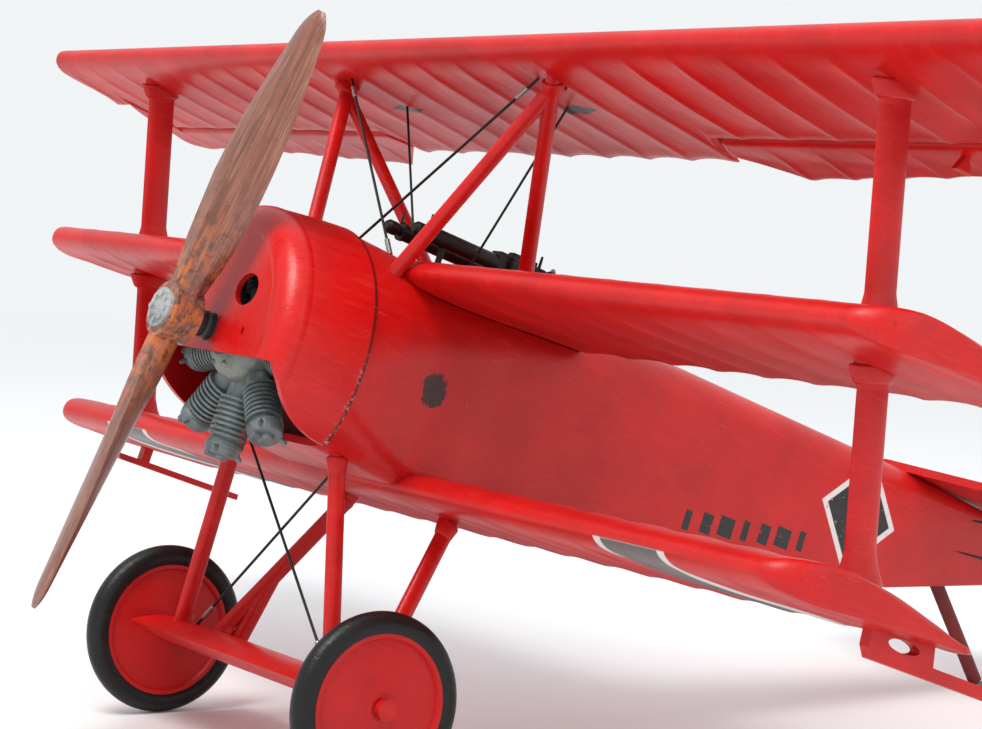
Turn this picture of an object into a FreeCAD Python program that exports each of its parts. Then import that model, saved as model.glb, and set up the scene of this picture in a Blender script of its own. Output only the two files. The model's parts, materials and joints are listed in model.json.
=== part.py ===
"""Scale model of a three-winged rotary-engined aeroplane, standing on its wheels and tail skid.

Every sub-part is laid out in aeroplane axes: X to port, Y aft along the thrust line, Z up, with the
zero at the front of the propeller hub. AIRFRAME then stands the aeroplane on the ground: nose up by
the ground angle, wheels on Z = 0 and the middle of its length at Y = 0. Millimetres, at 1:28.
"""
import FreeCAD, Part
import math
import os
import Sketcher
from FreeCAD import Placement, Rotation, Vector

doc = FreeCAD.newDocument("triplane")
sheet = doc.addObject("Spreadsheet::Sheet", "dims")

DIMENSIONS = {
    # how it stands
    "ground_angle": 18.0, "origin_aft": 95.067,
    # wings: leading edge place, half span and rigging angle of each
    "wing_chord": 35.7, "rib_pitch": 10.2, "scallop": 0.9, "tip_rake": 0.8, "tip_widest": 0.6,
    "tip_rear": 4.0, "upper_corner": 3.3, "upper_shoulder": 3.0, "middle_corner": 7.0,
    "middle_shoulder": 8.0, "lower_corner": 7.0, "lower_shoulder": 8.0,
    "upper_half_span": 127.8, "upper_aft": 25.4, "upper_up": 51.4, "upper_incidence": 7.6,
    "middle_half_span": 114.6, "middle_aft": 29.5, "middle_up": 16.9, "middle_incidence": 1.2,
    "lower_half_span": 103.6, "lower_aft": 37.9, "lower_up": -13.4, "lower_incidence": 1.5,
    # ailerons and hinges
    "aileron_inboard": 45.0, "aileron_outboard": 129.0, "aileron_chord": 7.4,
    "aileron_flare": 5.0, "aileron_nose": 1.15, "aileron_line": 0.6, "horn_side": 92.0,
    "aileron_slant": 2.5,
    "slant_length": 4.5, "balance_side": 121.0, "balance_start": 17.4, "balance_nose_up": 1.4,
    "hinge_radius": 0.3, "hinge_bore": 0.35, "surface_gap": 0.35,
    # cowling
    "cowl_radius": 21.2, "cowl_wall": 0.9, "cowl_front": 8.9, "cowl_rear": 23.5,
    "cowl_face": 15.5, "cowl_shoulder": 20.1, "cowl_shoulder_aft": 13.0, "cowl_hole": 2.15,
    "plate_edge": -3.4, "cut_start": 10.2, "cut_middle_aft": 16.2, "cut_middle_up": -9.6,
    "cut_end_up": -11.9, "vent_side": 7.0, "vent_up": 6.3, "vent_wide": 3.05, "vent_tall": 2.45,
    "drop_side": 9.7, "drop_up": 0.1,
    # rotary engine
    "shaft_radius": 1.0, "shaft_bore": 1.05, "shaft_rear": 27.2, "bush_radius": 1.8,
    "bush_front": 5.2, "bush_rear": 9.9, "case_radius": 6.4, "case_front": 11.6,
    "case_rear": 22.6, "case_nose": 3.4, "cylinder_foot": 6.1, "cylinder_root": 8.5,
    "cylinder_crown": 15.0, "cylinder_tip": 16.7, "cylinder_core": 2.05,
    "cylinder_fin": 2.75, "cylinder_aft": 17.4, "cylinder_count": 9, "fin_pitch": 0.8,
    "pushrod_radius": 0.25, "pushrod_aft": 20.6,
    # propeller
    "prop_hub_radius": 4.2, "prop_aft": 2.9, "prop_thick": 4.6,
    "prop_lean": 15.0, "plate_radius": 3.0, "plate_thick": 0.6, "bolt_radius": 0.42,
    "bolt_circle": 2.0, "bolt_count": 8, "bolt_height": 0.45,
    # fuselage
    "skin": 1.1, "firewall_aft": 26.0, "firewall_thick": 0.9, "tail_end": 178.5,
    "cockpit_front": 66.2, "cockpit_rear": 84.5, "cockpit_half": 8.4, "coaming": 0.8,
    "coaming_height": 0.5, "floor_up": -5.6, "floor_thick": 0.8,
    # struts and wires
    "strut_side": 98.0, "strut_chord": 5.2, "strut_thick": 1.8, "foot_chord": 7.8,
    "foot_thick": 2.6, "flare": 5.0, "strut_datum_aft": 35.9, "strut_datum_up": 48.5,
    "strut_rake": 0.308, "cabane_chord": 2.5, "cabane_thick": 1.8, "wire_radius": 0.22,
    # landing gear
    "gear_chord": 2.8, "gear_thick": 1.9, "axle_aft": 35.8, "axle_up": -44.7,
    "axle_radius": 0.85, "axle_half": 34.9, "cap_radius": 1.5, "cap_inner": 34.3,
    "wheel_side": 31.96, "wheel_radius": 13.5, "wheel_bore": 0.9, "disc_radius": 10.5,
    "disc_hub_half": 1.95, "disc_rim_half": 1.0, "bead_half": 1.5, "axle_wing_half": 28.4,
    "axle_wing_chord": 17.5,
    # tail
    "tail_thick": 1.4, "tail_up": 21.7, "tail_apex": 147.0, "tail_half_span": 47.0,
    "tail_rear": 172.4, "elevator_hinge": 173.45, "elevator_rear": 185.6,
    "lug_inner": 14.0, "lug_outer": 38.0, "lug_width": 1.2, "rudder_post": 182.4,
    "post_radius": 0.45, "post_bore": 0.5, "rudder_thick": 1.5, "rudder_aft": 190.0,
    "rudder_up": 29.0, "rudder_disc": 12.6, "rudder_foot": 8.6, "bracket_low": 10.8,
    "bracket_high": 17.0, "bracket_thick": 0.8,
    "skid_root_aft": 165.0, "skid_root_up": 6.6, "skid_tip_aft": 184.0, "skid_clear": 0.45,
    "shoe_thick": 1.0,
    "shoe_wide": 3.4, "shoe_long": 6.0,
    # guns
    "gun_side": 4.0, "gun_up": 25.2, "gun_front": 34.4, "gun_breech": 50.5, "gun_rear": 61.0,
    "jacket_radius": 1.35,
}
for row, (alias, value) in enumerate(DIMENSIONS.items(), start=1):
    sheet.set(f"A{row}", alias)
    sheet.set(f"B{row}", str(value))
    sheet.setAlias(f"B{row}", alias)
doc.recompute()


def dim(alias):
    """A driving dimension, read from the sheet."""
    return float(sheet.get(alias))


X, Y, Z = Vector(1, 0, 0), Vector(0, 1, 0), Vector(0, 0, 1)
SIDES = ((1, "left"), (-1, "right"))
TILT = math.radians(dim("ground_angle"))
GROUND_UP = (dim("wheel_radius") + dim("axle_aft") * math.sin(TILT)
             - dim("axle_up") * math.cos(TILT))
AIRFRAME = Placement(Vector(0, -dim("origin_aft"), GROUND_UP),
                     Rotation(X, -dim("ground_angle")))
finished = []


# ---- helpers ----

def keep(item):
    """Mark an object as a finished sub-part. Its label names its file."""
    item.Label = item.Name
    finished.append(item)
    return item


def at(x=0.0, y=0.0, z=0.0, turn=None):
    """A place in aeroplane axes, stood on the ground."""
    return AIRFRAME.multiply(Placement(Vector(x, y, z), turn or Rotation()))


def new_body(name, placement=None):
    body = doc.addObject("PartDesign::Body", name)
    body.Placement = placement or at()
    return body


def new_sketch(body, role, offset=0.0):
    """A sketch on one of the body's own origin planes, lifted off it along its normal."""
    sketch = body.newObject("Sketcher::SketchObject", body.Name + "_sketch")
    plane = next(f for f in body.Origin.OriginFeatures if f.Role == role)
    sketch.AttachmentSupport = [(plane, "")]
    sketch.MapMode = "FlatFace"
    sketch.AttachmentOffset = Placement(Vector(0, 0, offset), Rotation())
    return sketch


def draw_circle(sketch, radius, x=0.0, y=0.0):
    """A circle whose radius is bound to a cell, or to an expression on the cells."""
    index = sketch.addGeometry(Part.Circle(Vector(x, y, 0), Z, 1.0))
    constraint = sketch.addConstraint(Sketcher.Constraint("Radius", index, 1.0))
    sketch.setExpression(f"Constraints[{constraint}]", radius)


def draw_ellipse(sketch, half_x, half_y, x=0.0, y=0.0):
    """An ellipse with its axes along the sketch's own axes."""
    centre = Vector(x, y, 0)
    ends = (Vector(x + half_x, y, 0), Vector(x, y + half_y, 0))
    if half_y > half_x:
        ends = (Vector(x, y + half_y, 0), Vector(x - half_x, y, 0))
    sketch.addGeometry(Part.Ellipse(ends[0], ends[1], centre))


def draw_loop(sketch, points):
    """A closed outline. A point with two more numbers starts an arc through that middle point."""
    for point, following in zip(points, points[1:] + points[:1]):
        start = Vector(point[0], point[1], 0)
        end = Vector(following[0], following[1], 0)
        if len(point) == 4:
            sketch.addGeometry(Part.ArcOfCircle(start, Vector(point[2], point[3], 0), end))
        else:
            sketch.addGeometry(Part.LineSegment(start, end))


def add_feature(body, kind, sketch, **values):
    """A PartDesign feature on a sketch. A text value is an expression on the cells."""
    item = body.newObject("PartDesign::" + kind, body.Name + "_" + kind.lower())
    item.Profile = sketch
    for name, value in values.items():
        if isinstance(value, str):
            item.setExpression(name, value)
        else:
            setattr(item, name, value)
    return item


def cut_through(body, sketch):
    """A pocket through the whole body, both ways from its sketch."""
    pocket = add_feature(body, "Pocket", sketch, Type=1)
    pocket.Midplane = True
    return pocket


def turn_section(body, points, axis="H_Axis", role="YZ_Plane"):
    """Revolve a half section, drawn as (distance along the axis, radius)."""
    sketch = new_sketch(body, role)
    draw_loop(sketch, points)
    add_feature(body, "Revolution", sketch, ReferenceAxis=(sketch, [axis]), Angle=360.0)


def add_disc(body, radius, front, length):
    """A disc or rod about the body's Y axis: its radius and length are expressions."""
    sketch = new_sketch(body, "XZ_Plane", -front)
    draw_circle(sketch, radius)
    add_feature(body, "Pad", sketch, Length=length).Reversed = True


def repeat_about_thrust_line(body, seed, count):
    """Copies of a feature round the body's Y axis."""
    pattern = body.newObject("PartDesign::PolarPattern", body.Name + "_ring")
    pattern.Originals = [seed]
    axis = next(f for f in body.Origin.OriginFeatures if f.Role == "Y_Axis")
    pattern.Axis = (axis, [""])
    pattern.Angle = 360.0
    pattern.setExpression("Occurrences", count)
    body.Tip = pattern
    return pattern


def shape_part(name, shape):
    """An object whose shape comes from Part's own functions, in aeroplane axes."""
    item = doc.addObject("Part::Feature", name)
    item.Shape = shape
    item.Placement = at()
    return item


def boolean(name, kind, base, tool):
    result = doc.addObject("Part::" + kind, name)
    result.Base = base
    result.Tool = tool
    return result


def box_between(name, low, high):
    """A Part::Box between two corners in aeroplane axes."""
    box = doc.addObject("Part::Box", name)
    box.Length, box.Width, box.Height = (b - a for a, b in zip(low, high))
    box.Placement = at(*low)
    return box


def along(start, end):
    """The turn that points local Z from start to end and keeps local Y fore and aft."""
    axis = end - start
    side = Y.cross(axis)
    return Rotation(side, axis.cross(side), axis, "ZXY")


def add_strut(body, start, end, chord, thick):
    """One streamlined strut as a body of its own, its long section fore and aft."""
    body.Placement = at(start.x, start.y, start.z, along(start, end))
    sketch = new_sketch(body, "XY_Plane")
    draw_ellipse(sketch, dim(thick) / 2, dim(chord) / 2)
    add_feature(body, "Pad", sketch, Length=(end - start).Length)
    return body


def rod(start, end, radius):
    """A round solid between two points."""
    return Part.makeCylinder(radius, (end - start).Length, start, end - start)


# ---- wings ----

CROWN = ((0.02, 0.038), (0.08, 0.072), (0.19, 0.094), (0.33, 0.103), (0.52, 0.092),
         (0.72, 0.060), (0.88, 0.028), (1.0, 0.006))
BELLY = ((1.0, -0.006), (0.75, -0.022), (0.45, -0.045), (0.2, -0.055), (0.08, -0.050),
         (0.02, -0.030))


def draw_aerofoil(sketch, chord, depth=1.0):
    """A thick cambered section from a round nose at zero to a blunt rear edge."""
    over = [Vector(t * chord, h * chord * depth, 0) for t, h in reversed(CROWN)]
    under = [Vector(t * chord, h * chord * depth, 0) for t, h in reversed(BELLY)]
    skin = Part.BSplineCurve()
    skin.interpolate(over + [Vector(0, 0, 0)] + under)
    sketch.addGeometry(skin)
    sketch.addGeometry(Part.LineSegment(under[-1], over[0]))


def tip_outline(half_span, chord, corner, shoulder):
    """Port tip from nose to rear edge, as (point, middle of the arc that starts there or None)."""
    rake, rear = dim("tip_rake"), dim("tip_rear")
    slack = rear * (1 - math.cos(math.pi / 4))
    return [((half_span - corner, 0.0),
             (half_span - corner + 0.72 * (corner - rake), 0.3 * shoulder)),
            ((half_span - rake, shoulder), None),
            ((half_span, dim("tip_widest") * chord), None),
            ((half_span, chord - rear), (half_span - slack, chord - slack)),
            ((half_span - rear, chord), None)]


def wing_outline(half_span, chord, corner, shoulder):
    """Plan of a wing: straight nose, rounded tips, and a rear edge scalloped between the ribs."""
    tip = tip_outline(half_span, chord, corner, shoulder)
    reach = half_span - dim("tip_rear")
    bays = int(2 * reach / dim("rib_pitch"))
    rear = [reach - i * 2 * reach / bays for i in range(bays + 1)]
    points = [(-half_span + corner, -1.0), (half_span - corner, -1.0)]
    points += [point + (middle or ()) for point, middle in tip[:-1]]
    for here, there in zip(rear, rear[1:]):
        points.append((here, chord, (here + there) / 2, chord - dim("scallop")))
    for (point, _), (_, middle) in zip(reversed(tip), reversed(tip[:-1])):
        points.append((-point[0], point[1]) + ((-middle[0], middle[1]) if middle else ()))
    points.append((-half_span + corner, 0.0))
    return points


def trim_to_plan(body, outline, reach):
    """Cut away everything outside a plan outline."""
    sketch = new_sketch(body, "XY_Plane")
    draw_loop(sketch, [(-reach, -reach), (reach, -reach), (reach, reach), (-reach, reach)])
    draw_loop(sketch, outline)
    cut_through(body, sketch)


def make_wing(name):
    """One wing: the aerofoil across the whole span, trimmed to its plan."""
    turn = Rotation(X, -dim(name + "_incidence"))
    body = new_body(name + "_wing", at(0, dim(name + "_aft"), dim(name + "_up"), turn))
    sketch = new_sketch(body, "YZ_Plane")
    draw_aerofoil(sketch, dim("wing_chord"))
    pad = add_feature(body, "Pad", sketch, Length=f"2 * dims.{name}_half_span")
    pad.Midplane = True
    half_span = dim(name + "_half_span")
    corner, shoulder = dim(name + "_corner"), dim(name + "_shoulder")
    trim_to_plan(body, wing_outline(half_span, dim("wing_chord"), corner, shoulder), half_span + 20)
    return keep(body)


def aileron_front():
    """Station along the chord where the ailerons' round nose begins."""
    return dim("wing_chord") - dim("aileron_chord")


def open_aileron_bays(wing):
    """Leave room in the upper wing for the ailerons and the balances round its tips."""
    gap, front = dim("surface_gap"), aileron_front()
    inner, step, slant = dim("aileron_inboard"), dim("balance_side"), dim("aileron_slant")
    outer, rear = dim("aileron_outboard") + 5, dim("wing_chord") + 9
    plan = [(inner - gap, front - gap), (step, front - gap), (step, dim("balance_start") - gap),
            (outer, dim("balance_start") - gap), (outer, rear), (inner - slant - gap, rear),
            (inner - slant - gap, front + dim("slant_length"))]
    for side, hand in SIDES:
        sketch = new_sketch(wing, "XY_Plane")
        draw_loop(sketch, [(side * x, y) for x, y in plan])
        cut_through(wing, sketch)


def aileron_plan():
    """Plan of the port aileron: slanted inner end, flared rear edge, balance round the tip."""
    chord, front = dim("wing_chord"), aileron_front()
    inner, outer, rear = dim("aileron_inboard"), dim("aileron_outboard"), chord + dim("aileron_flare")
    step, start = dim("balance_side") + dim("surface_gap"), dim("balance_start")
    return [(inner, front - 1), (step, front - 1), (step, start), (outer - 1.6, start),
            (outer - 0.5, start + 1.4), (outer, start + 6), (outer, chord - 3.5),
            (outer - 1.0, chord), (outer - 5, chord + 1.4), (inner + 45, chord + 2.2),
            (inner + 8.5, rear), (inner - dim("aileron_slant"), front + dim("slant_length"))]


def make_ailerons():
    """Each aileron has a round nose with a bore for its hinge pin, and a horn underneath."""
    nose, line = dim("aileron_nose"), dim("aileron_line")
    hinge_aft = aileron_front() + nose
    rear = dim("wing_chord") + dim("aileron_flare") + 0.5
    inner, outer = dim("aileron_inboard") - 4, dim("aileron_outboard")
    step, start = dim("balance_side") + dim("surface_gap"), dim("balance_start")
    balance_up = dim("balance_nose_up")
    turn = Rotation(X, -dim("upper_incidence"))
    for side, hand in SIDES:
        body = new_body("aileron_" + hand, at(0, dim("upper_aft"), dim("upper_up"), turn))
        sketch = new_sketch(body, "YZ_Plane", side * (inner + outer) / 2)
        draw_loop(sketch, [(hinge_aft, line + nose, hinge_aft - nose, line),
                           (hinge_aft, line - nose), (rear, -0.45), (rear, 0.15)])
        add_feature(body, "Pad", sketch, Length=outer - inner).Midplane = True
        balance = new_sketch(body, "YZ_Plane", side * (step + outer) / 2)
        draw_loop(balance, [(start, balance_up - 0.4), (start, balance_up + 0.4),
                            (hinge_aft, line + 0.9 * nose), (hinge_aft, line - 0.9 * nose)])
        add_feature(body, "Pad", balance, Length=outer - step).Midplane = True
        bore = new_sketch(body, "YZ_Plane")
        draw_circle(bore, "dims.hinge_bore", hinge_aft, line)
        cut_through(body, bore)
        trim_to_plan(body, [(side * x, y) for x, y in aileron_plan()], 160.0)
        horn = new_sketch(body, "YZ_Plane", side * dim("horn_side"))
        draw_loop(horn, [(hinge_aft + 0.9, line - 0.6), (hinge_aft + 4.2, line - 0.8),
                         (hinge_aft + 1.6, line - 4.0)])
        add_feature(body, "Pad", horn, Length=0.8).Midplane = True
        keep(body)
    pins = []
    for side, hand in SIDES:
        ends = [Vector(side * x, hinge_aft, line)
                for x in (dim("aileron_inboard") - 5, dim("balance_side") - 1)]
        pins.append(rod(ends[0], ends[1], dim("hinge_radius")))
    item = shape_part("aileron_hinge_pins", Part.makeCompound(pins))
    item.Placement = at(0, dim("upper_aft"), dim("upper_up"), turn)
    keep(item)


# ---- fuselage ----

# aft place, top, bottom, half width, corner radius above and below
STATIONS = (
    (23.5, 20.7, -12.3, 20.7, 20.2, 8.0), (30.0, 20.0, -12.9, 19.3, 16.6, 5.0),
    (38.0, 19.1, -13.7, 17.3, 12.8, 3.2), (52.0, 19.4, -15.0, 15.2, 8.6, 2.8), (70.0, 20.7, -13.2, 13.7, 7.4, 2.4),
    (90.0, 21.4, -9.9, 12.0, 6.6, 1.8), (120.0, 21.3, -4.8, 9.0, 5.0, 1.4),
    (150.0, 21.2, 0.3, 5.9, 3.4, 1.0), (178.5, 20.25, 8.2, 2.3, 1.5, 0.8),
)


def station_wire(aft, top, bottom, half_width, crown, keel, inset):
    """A box section with rounded corners, pulled in by inset, between eight tangent edges."""
    top, bottom, half_width = top - inset, bottom + inset, half_width - inset
    corners = ((-1, 1, crown), (1, 1, crown), (1, -1, keel), (-1, -1, keel))
    points = []
    for i, (side, rise, radius) in enumerate(corners):
        radius = max(radius - inset, 0.3)
        middle_x, middle_z = side * (half_width - radius), (top if rise > 0 else bottom) - rise * radius
        slack = radius / math.sqrt(2)
        ends = [Vector(middle_x, aft, middle_z + rise * radius),
                Vector(middle_x + side * radius, aft, middle_z)]
        if i % 2 == 0:
            ends.reverse()
        points.append((ends[0], Vector(middle_x + side * slack, aft, middle_z + rise * slack), ends[1]))
    edges = []
    for arc, following in zip(points, points[1:] + points[:1]):
        edges.append(Part.Arc(*arc).toShape())
        edges.append(Part.makeLine(arc[2], following[0]))
    return Part.Wire(edges)


def fuselage_loft(inset):
    return Part.makeLoft([station_wire(*station, inset) for station in STATIONS], True, True)


def slot_outline(half, front, rear):
    """A rounded slot in plan, as for the cockpit opening."""
    return [(-half, front + half, 0.0, front), (half, front + half),
            (half, rear - half, 0.0, rear), (-half, rear - half)]


def make_cockpit_cutter():
    cutter = new_body("cockpit_cutter")
    sketch = new_sketch(cutter, "XY_Plane", 14.0)
    draw_loop(sketch, slot_outline(dim("cockpit_half"), dim("cockpit_front"), dim("cockpit_rear")))
    add_feature(cutter, "Pad", sketch, Length=16.0)
    return cutter


def make_fuselage(wings, tailplane):
    """Two moulded half shells, split on the centre line and cut round the wings and tailplane."""
    outside = fuselage_loft(0.0)
    inside = fuselage_loft(dim("skin"))
    shell = shape_part("fuselage_shell", outside.cut(inside))
    core = shape_part("fuselage_core", inside)
    cutters = doc.addObject("Part::MultiFuse", "fuselage_cutters")
    cutters.Shapes = [*wings, tailplane, make_cockpit_cutter()]
    trimmed = boolean("fuselage_trimmed", "Cut", shell, cutters)
    port_space = box_between("port_half_space", (0, 20, -40), (30, 190, 40))
    left = keep(boolean("fuselage_left_half", "Common", trimmed, port_space))
    right = doc.addObject("Part::Mirroring", "fuselage_right_half")
    right.Source = left
    right.Normal = X
    keep(right)
    return outside, core


def make_cabin(outside, core):
    """What is inside: firewall, floor, panel, bulkhead, seat and control column."""
    floor_up = dim("floor_up")
    fittings = {
        "firewall_blank": ((-20, dim("firewall_aft"), -20),
                           (20, dim("firewall_aft") + dim("firewall_thick"), 20)),
        "cockpit_floor": ((-20, 50, floor_up), (20, 88, floor_up + dim("floor_thick"))),
        "instrument_panel": ((-20, 63, 2), (20, 64, 15)),
        "rear_bulkhead": ((-20, 88, -20), (20, 89, 25)),
    }
    made = {}
    for name, (low, high) in fittings.items():
        block = box_between(name + "_block", low, high)
        made[name] = boolean(name, "Common", core, block)
        if name != "firewall_blank":
            keep(made[name])
    bearing = doc.addObject("Part::Cylinder", "firewall_bearing_hole")
    bearing.setExpression("Radius", "dims.shaft_bore")
    bearing.Height = 10.0
    bearing.Placement = at(0, 22, 0, Rotation(X, -90))
    keep(boolean("firewall", "Cut", made["firewall_blank"], bearing))

    seat = new_body("pilot_seat", at(0, 78.5, floor_up + dim("floor_thick")))
    side_view = new_sketch(seat, "YZ_Plane")
    draw_loop(side_view, [(-4, 0), (4, 0), (6.2, 12), (5.1, 12), (3.1, 3.2), (-4, 3.6)])
    add_feature(seat, "Pad", side_view, Length=11.0).Midplane = True
    keep(seat)

    column = new_body("control_column", at(0, 69.0, floor_up + dim("floor_thick")))
    turn_column(column)
    keep(column)

    rim = fuselage_rim(outside)
    keep(shape_part("cockpit_coaming", rim))


def turn_column(column):
    """The stick: a foot, a thin stem and a thicker grip."""
    sketch = new_sketch(column, "XZ_Plane")
    draw_loop(sketch, [(0, 0), (1.2, 0), (1.2, 1.0), (0.45, 1.4), (0.45, 10.5), (0.8, 10.8),
                       (0.8, 13.0), (0, 13.3)])
    add_feature(column, "Revolution", sketch, ReferenceAxis=(sketch, ["V_Axis"]), Angle=360.0)


def fuselage_rim(outside):
    """The padded lip round the cockpit opening, lying on the deck."""
    raised = fuselage_loft(-dim("coaming_height"))
    ring = Part.Face(plan_wire(dim("coaming"))).extrude(Vector(0, 0, 16))
    hole = Part.Face(plan_wire(0.0)).extrude(Vector(0, 0, 16))
    return raised.common(ring.cut(hole)).cut(outside)


def plan_wire(grow):
    """The cockpit opening's outline at mid height, made larger by grow."""
    half = dim("cockpit_half") + grow
    front, rear = dim("cockpit_front") - grow, dim("cockpit_rear") + grow
    low = 14.0
    corners = [Vector(-half, front + half, low), Vector(0, front, low), Vector(half, front + half, low),
               Vector(half, rear - half, low), Vector(0, rear, low), Vector(-half, rear - half, low)]
    edges = [Part.Arc(*corners[:3]).toShape(), Part.makeLine(corners[2], corners[3]),
             Part.Arc(*corners[3:]).toShape(), Part.makeLine(corners[5], corners[0])]
    return Part.Wire(edges)


def make_cowling():
    """A pressed ring with a closed round front, two oval vents and an open lower front."""
    radius, wall, hole = dim("cowl_radius"), dim("cowl_wall"), dim("cowl_hole")
    front, rear, face = dim("cowl_front"), dim("cowl_rear"), dim("cowl_face")
    shoulder, shoulder_aft = dim("cowl_shoulder"), dim("cowl_shoulder_aft")
    nose = (front + 0.22 * (shoulder_aft - front), face + 0.72 * (shoulder - face))
    side = ((rear + shoulder_aft) / 2, (radius + shoulder) / 2 + 0.1)
    body = new_body("cowling")
    turn_section(body, [
        (rear, radius, *side), (shoulder_aft, shoulder, *nose), (front, face), (front, hole),
        (front + wall, hole), (front + wall, face, nose[0] + 0.7 * wall, nose[1] - 0.7 * wall),
        (shoulder_aft + 0.2, shoulder - wall, side[0], side[1] - wall), (rear, radius - wall)])
    lower = new_sketch(body, "YZ_Plane")
    edge, start = dim("plate_edge"), dim("cut_start")
    draw_loop(lower, [(front - 4, edge), (start, edge, dim("cut_middle_aft"), dim("cut_middle_up")),
                      (rear + 0.5, dim("cut_end_up")), (rear + 0.5, -radius - 5),
                      (front - 4, -radius - 5)])
    cut_through(body, lower)
    vents = new_sketch(body, "XZ_Plane", -(front - 1))
    for side, hand in SIDES:
        draw_ellipse(vents, dim("vent_wide"), dim("vent_tall"), side * dim("vent_side"),
                     dim("vent_up"))
    draw_ellipse(vents, 0.35, 0.65, dim("drop_side"), dim("drop_up"))
    add_feature(body, "Pocket", vents, Length=3.0)
    return keep(body)


# ---- engine and propeller ----

def make_engine():
    shaft = new_body("engine_shaft")
    add_disc(shaft, "dims.shaft_radius", dim("plate_thick"), "dims.shaft_rear - dims.plate_thick")
    keep(shaft)

    bush = new_body("shaft_bush")
    front, rear = dim("bush_front"), dim("bush_rear")
    radius, inner = dim("bush_radius"), dim("shaft_radius")
    turn_section(bush, [(front, inner), (front, radius), (rear, radius), (rear, inner)])
    keep(bush)

    case = new_body("engine_crankcase")
    front, rear, drum = dim("case_front"), dim("case_rear"), dim("case_radius")
    turn_section(case, [
        (front, inner), (front, dim("case_nose"), front + 1.0, 0.8 * drum),
        (front + 3.4, drum), (rear - 1.4, drum), (rear, 0.8 * drum), (rear, inner)])
    keep(case)

    cylinders = new_body("engine_cylinders")
    sketch = new_sketch(cylinders, "YZ_Plane")
    seed = draw_cylinder_section(cylinders, sketch)
    repeat_about_thrust_line(cylinders, seed, "dims.cylinder_count")
    keep(cylinders)

    pushrods = new_body("engine_pushrods")
    sketch = new_sketch(pushrods, "XY_Plane", -dim("cylinder_tip") + 1.0)
    draw_circle(sketch, "dims.pushrod_radius", 0.0, dim("pushrod_aft"))
    seed = add_feature(pushrods, "Pad", sketch, Length="dims.cylinder_tip - 6.2")
    repeat_about_thrust_line(pushrods, seed, "dims.cylinder_count")
    keep(pushrods)


def draw_cylinder_section(body, sketch):
    """Half section of one finned cylinder, pointing straight down, turned about its own axis."""
    centre, core, fin = dim("cylinder_aft"), dim("cylinder_core"), dim("cylinder_fin")
    foot, root = dim("cylinder_foot"), dim("cylinder_root")
    crown, tip, pitch = dim("cylinder_crown"), dim("cylinder_tip"), dim("fin_pitch")
    points = [(0, foot), (core, foot), (core, root)]
    reach = root
    while reach + pitch / 2 <= crown:
        points += [(fin, reach), (fin, reach + pitch / 2), (core + 0.1, reach + pitch / 2),
                   (core + 0.1, reach + pitch)]
        reach += pitch
    points += [(core + 0.25, reach), (core, tip - 0.3), (core - 0.5, tip), (0, tip)]
    draw_loop(sketch, [(centre + across, -down) for across, down in points])
    axis = sketch.addGeometry(Part.LineSegment(Vector(centre, -tip, 0), Vector(centre, -foot, 0)))
    sketch.setConstruction(axis, True)
    return add_feature(body, "Revolution", sketch, ReferenceAxis=(sketch, ["Axis0"]), Angle=360.0)


# radius, chord, thickness and pitch angle of the blade's sections
BLADE = ((2.0, 5.2, 4.4, 62.0), (8.0, 6.8, 4.3, 48.0), (16.0, 9.0, 3.7, 34.0), (25.0, 9.9, 3.0, 25.0),
         (34.0, 9.0, 2.4, 20.0), (43.0, 6.6, 1.8, 16.0), (47.2, 4.0, 1.3, 14.5), (48.5, 1.6, 0.7, 14.0))


def blade_section(reach, chord, thick, pitch):
    """A lens-shaped section across the blade, turned to its pitch angle."""
    place = Placement(Vector(0, 0, reach), Rotation(Z, pitch))
    edge, back = Vector(chord / 2, 0, 0), Vector(0, thick / 2, 0)
    front_edge, crown, rear_edge, face = (place.multVec(p) for p in (edge, back, -edge, -back))
    return Part.Wire([Part.Arc(front_edge, crown, rear_edge).toShape(),
                      Part.Arc(rear_edge, face, front_edge).toShape()])


def make_propeller():
    blade = Part.makeLoft([blade_section(*section) for section in BLADE], True, False)
    opposite = blade.copy()
    opposite.rotate(Vector(), Y, 180)
    half = dim("prop_thick") / 2
    hub = Part.makeCylinder(dim("prop_hub_radius"), 2 * half, Vector(0, -half, 0), Y)
    bore = Part.makeCylinder(dim("shaft_radius"), 40, Vector(0, -20, 0), Y)
    wooden = hub.fuse([blade, opposite]).cut(bore)
    front = dim("plate_thick")
    stock = Part.makeBox(120, 20, 120, Vector(-60, front - dim("prop_aft"), -60))
    propeller = shape_part("propeller", wooden.common(stock))
    propeller.Placement = at(0, dim("prop_aft"), 0, Rotation(Y, dim("prop_lean")))
    keep(propeller)

    plate = new_body("propeller_hub_plate")
    add_disc(plate, "dims.plate_radius", 0.0, "dims.plate_thick")
    keep(plate)

    bolts = new_body("propeller_hub_bolts")
    sketch = new_sketch(bolts, "XZ_Plane", dim("bolt_height"))
    draw_circle(sketch, "dims.bolt_radius", 0.0, dim("bolt_circle"))
    seed = add_feature(bolts, "Pad", sketch, Length="dims.bolt_height")
    seed.Reversed = True
    repeat_about_thrust_line(bolts, seed, "dims.bolt_count")
    keep(bolts)


# ---- struts, wires and landing gear ----

def strut_centre(side, up):
    """The middle of the raked line of interplane struts at a given height."""
    aft = dim("strut_datum_aft") + (dim("strut_datum_up") - up) * dim("strut_rake")
    return Vector(side * dim("strut_side"), aft, up)


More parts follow.
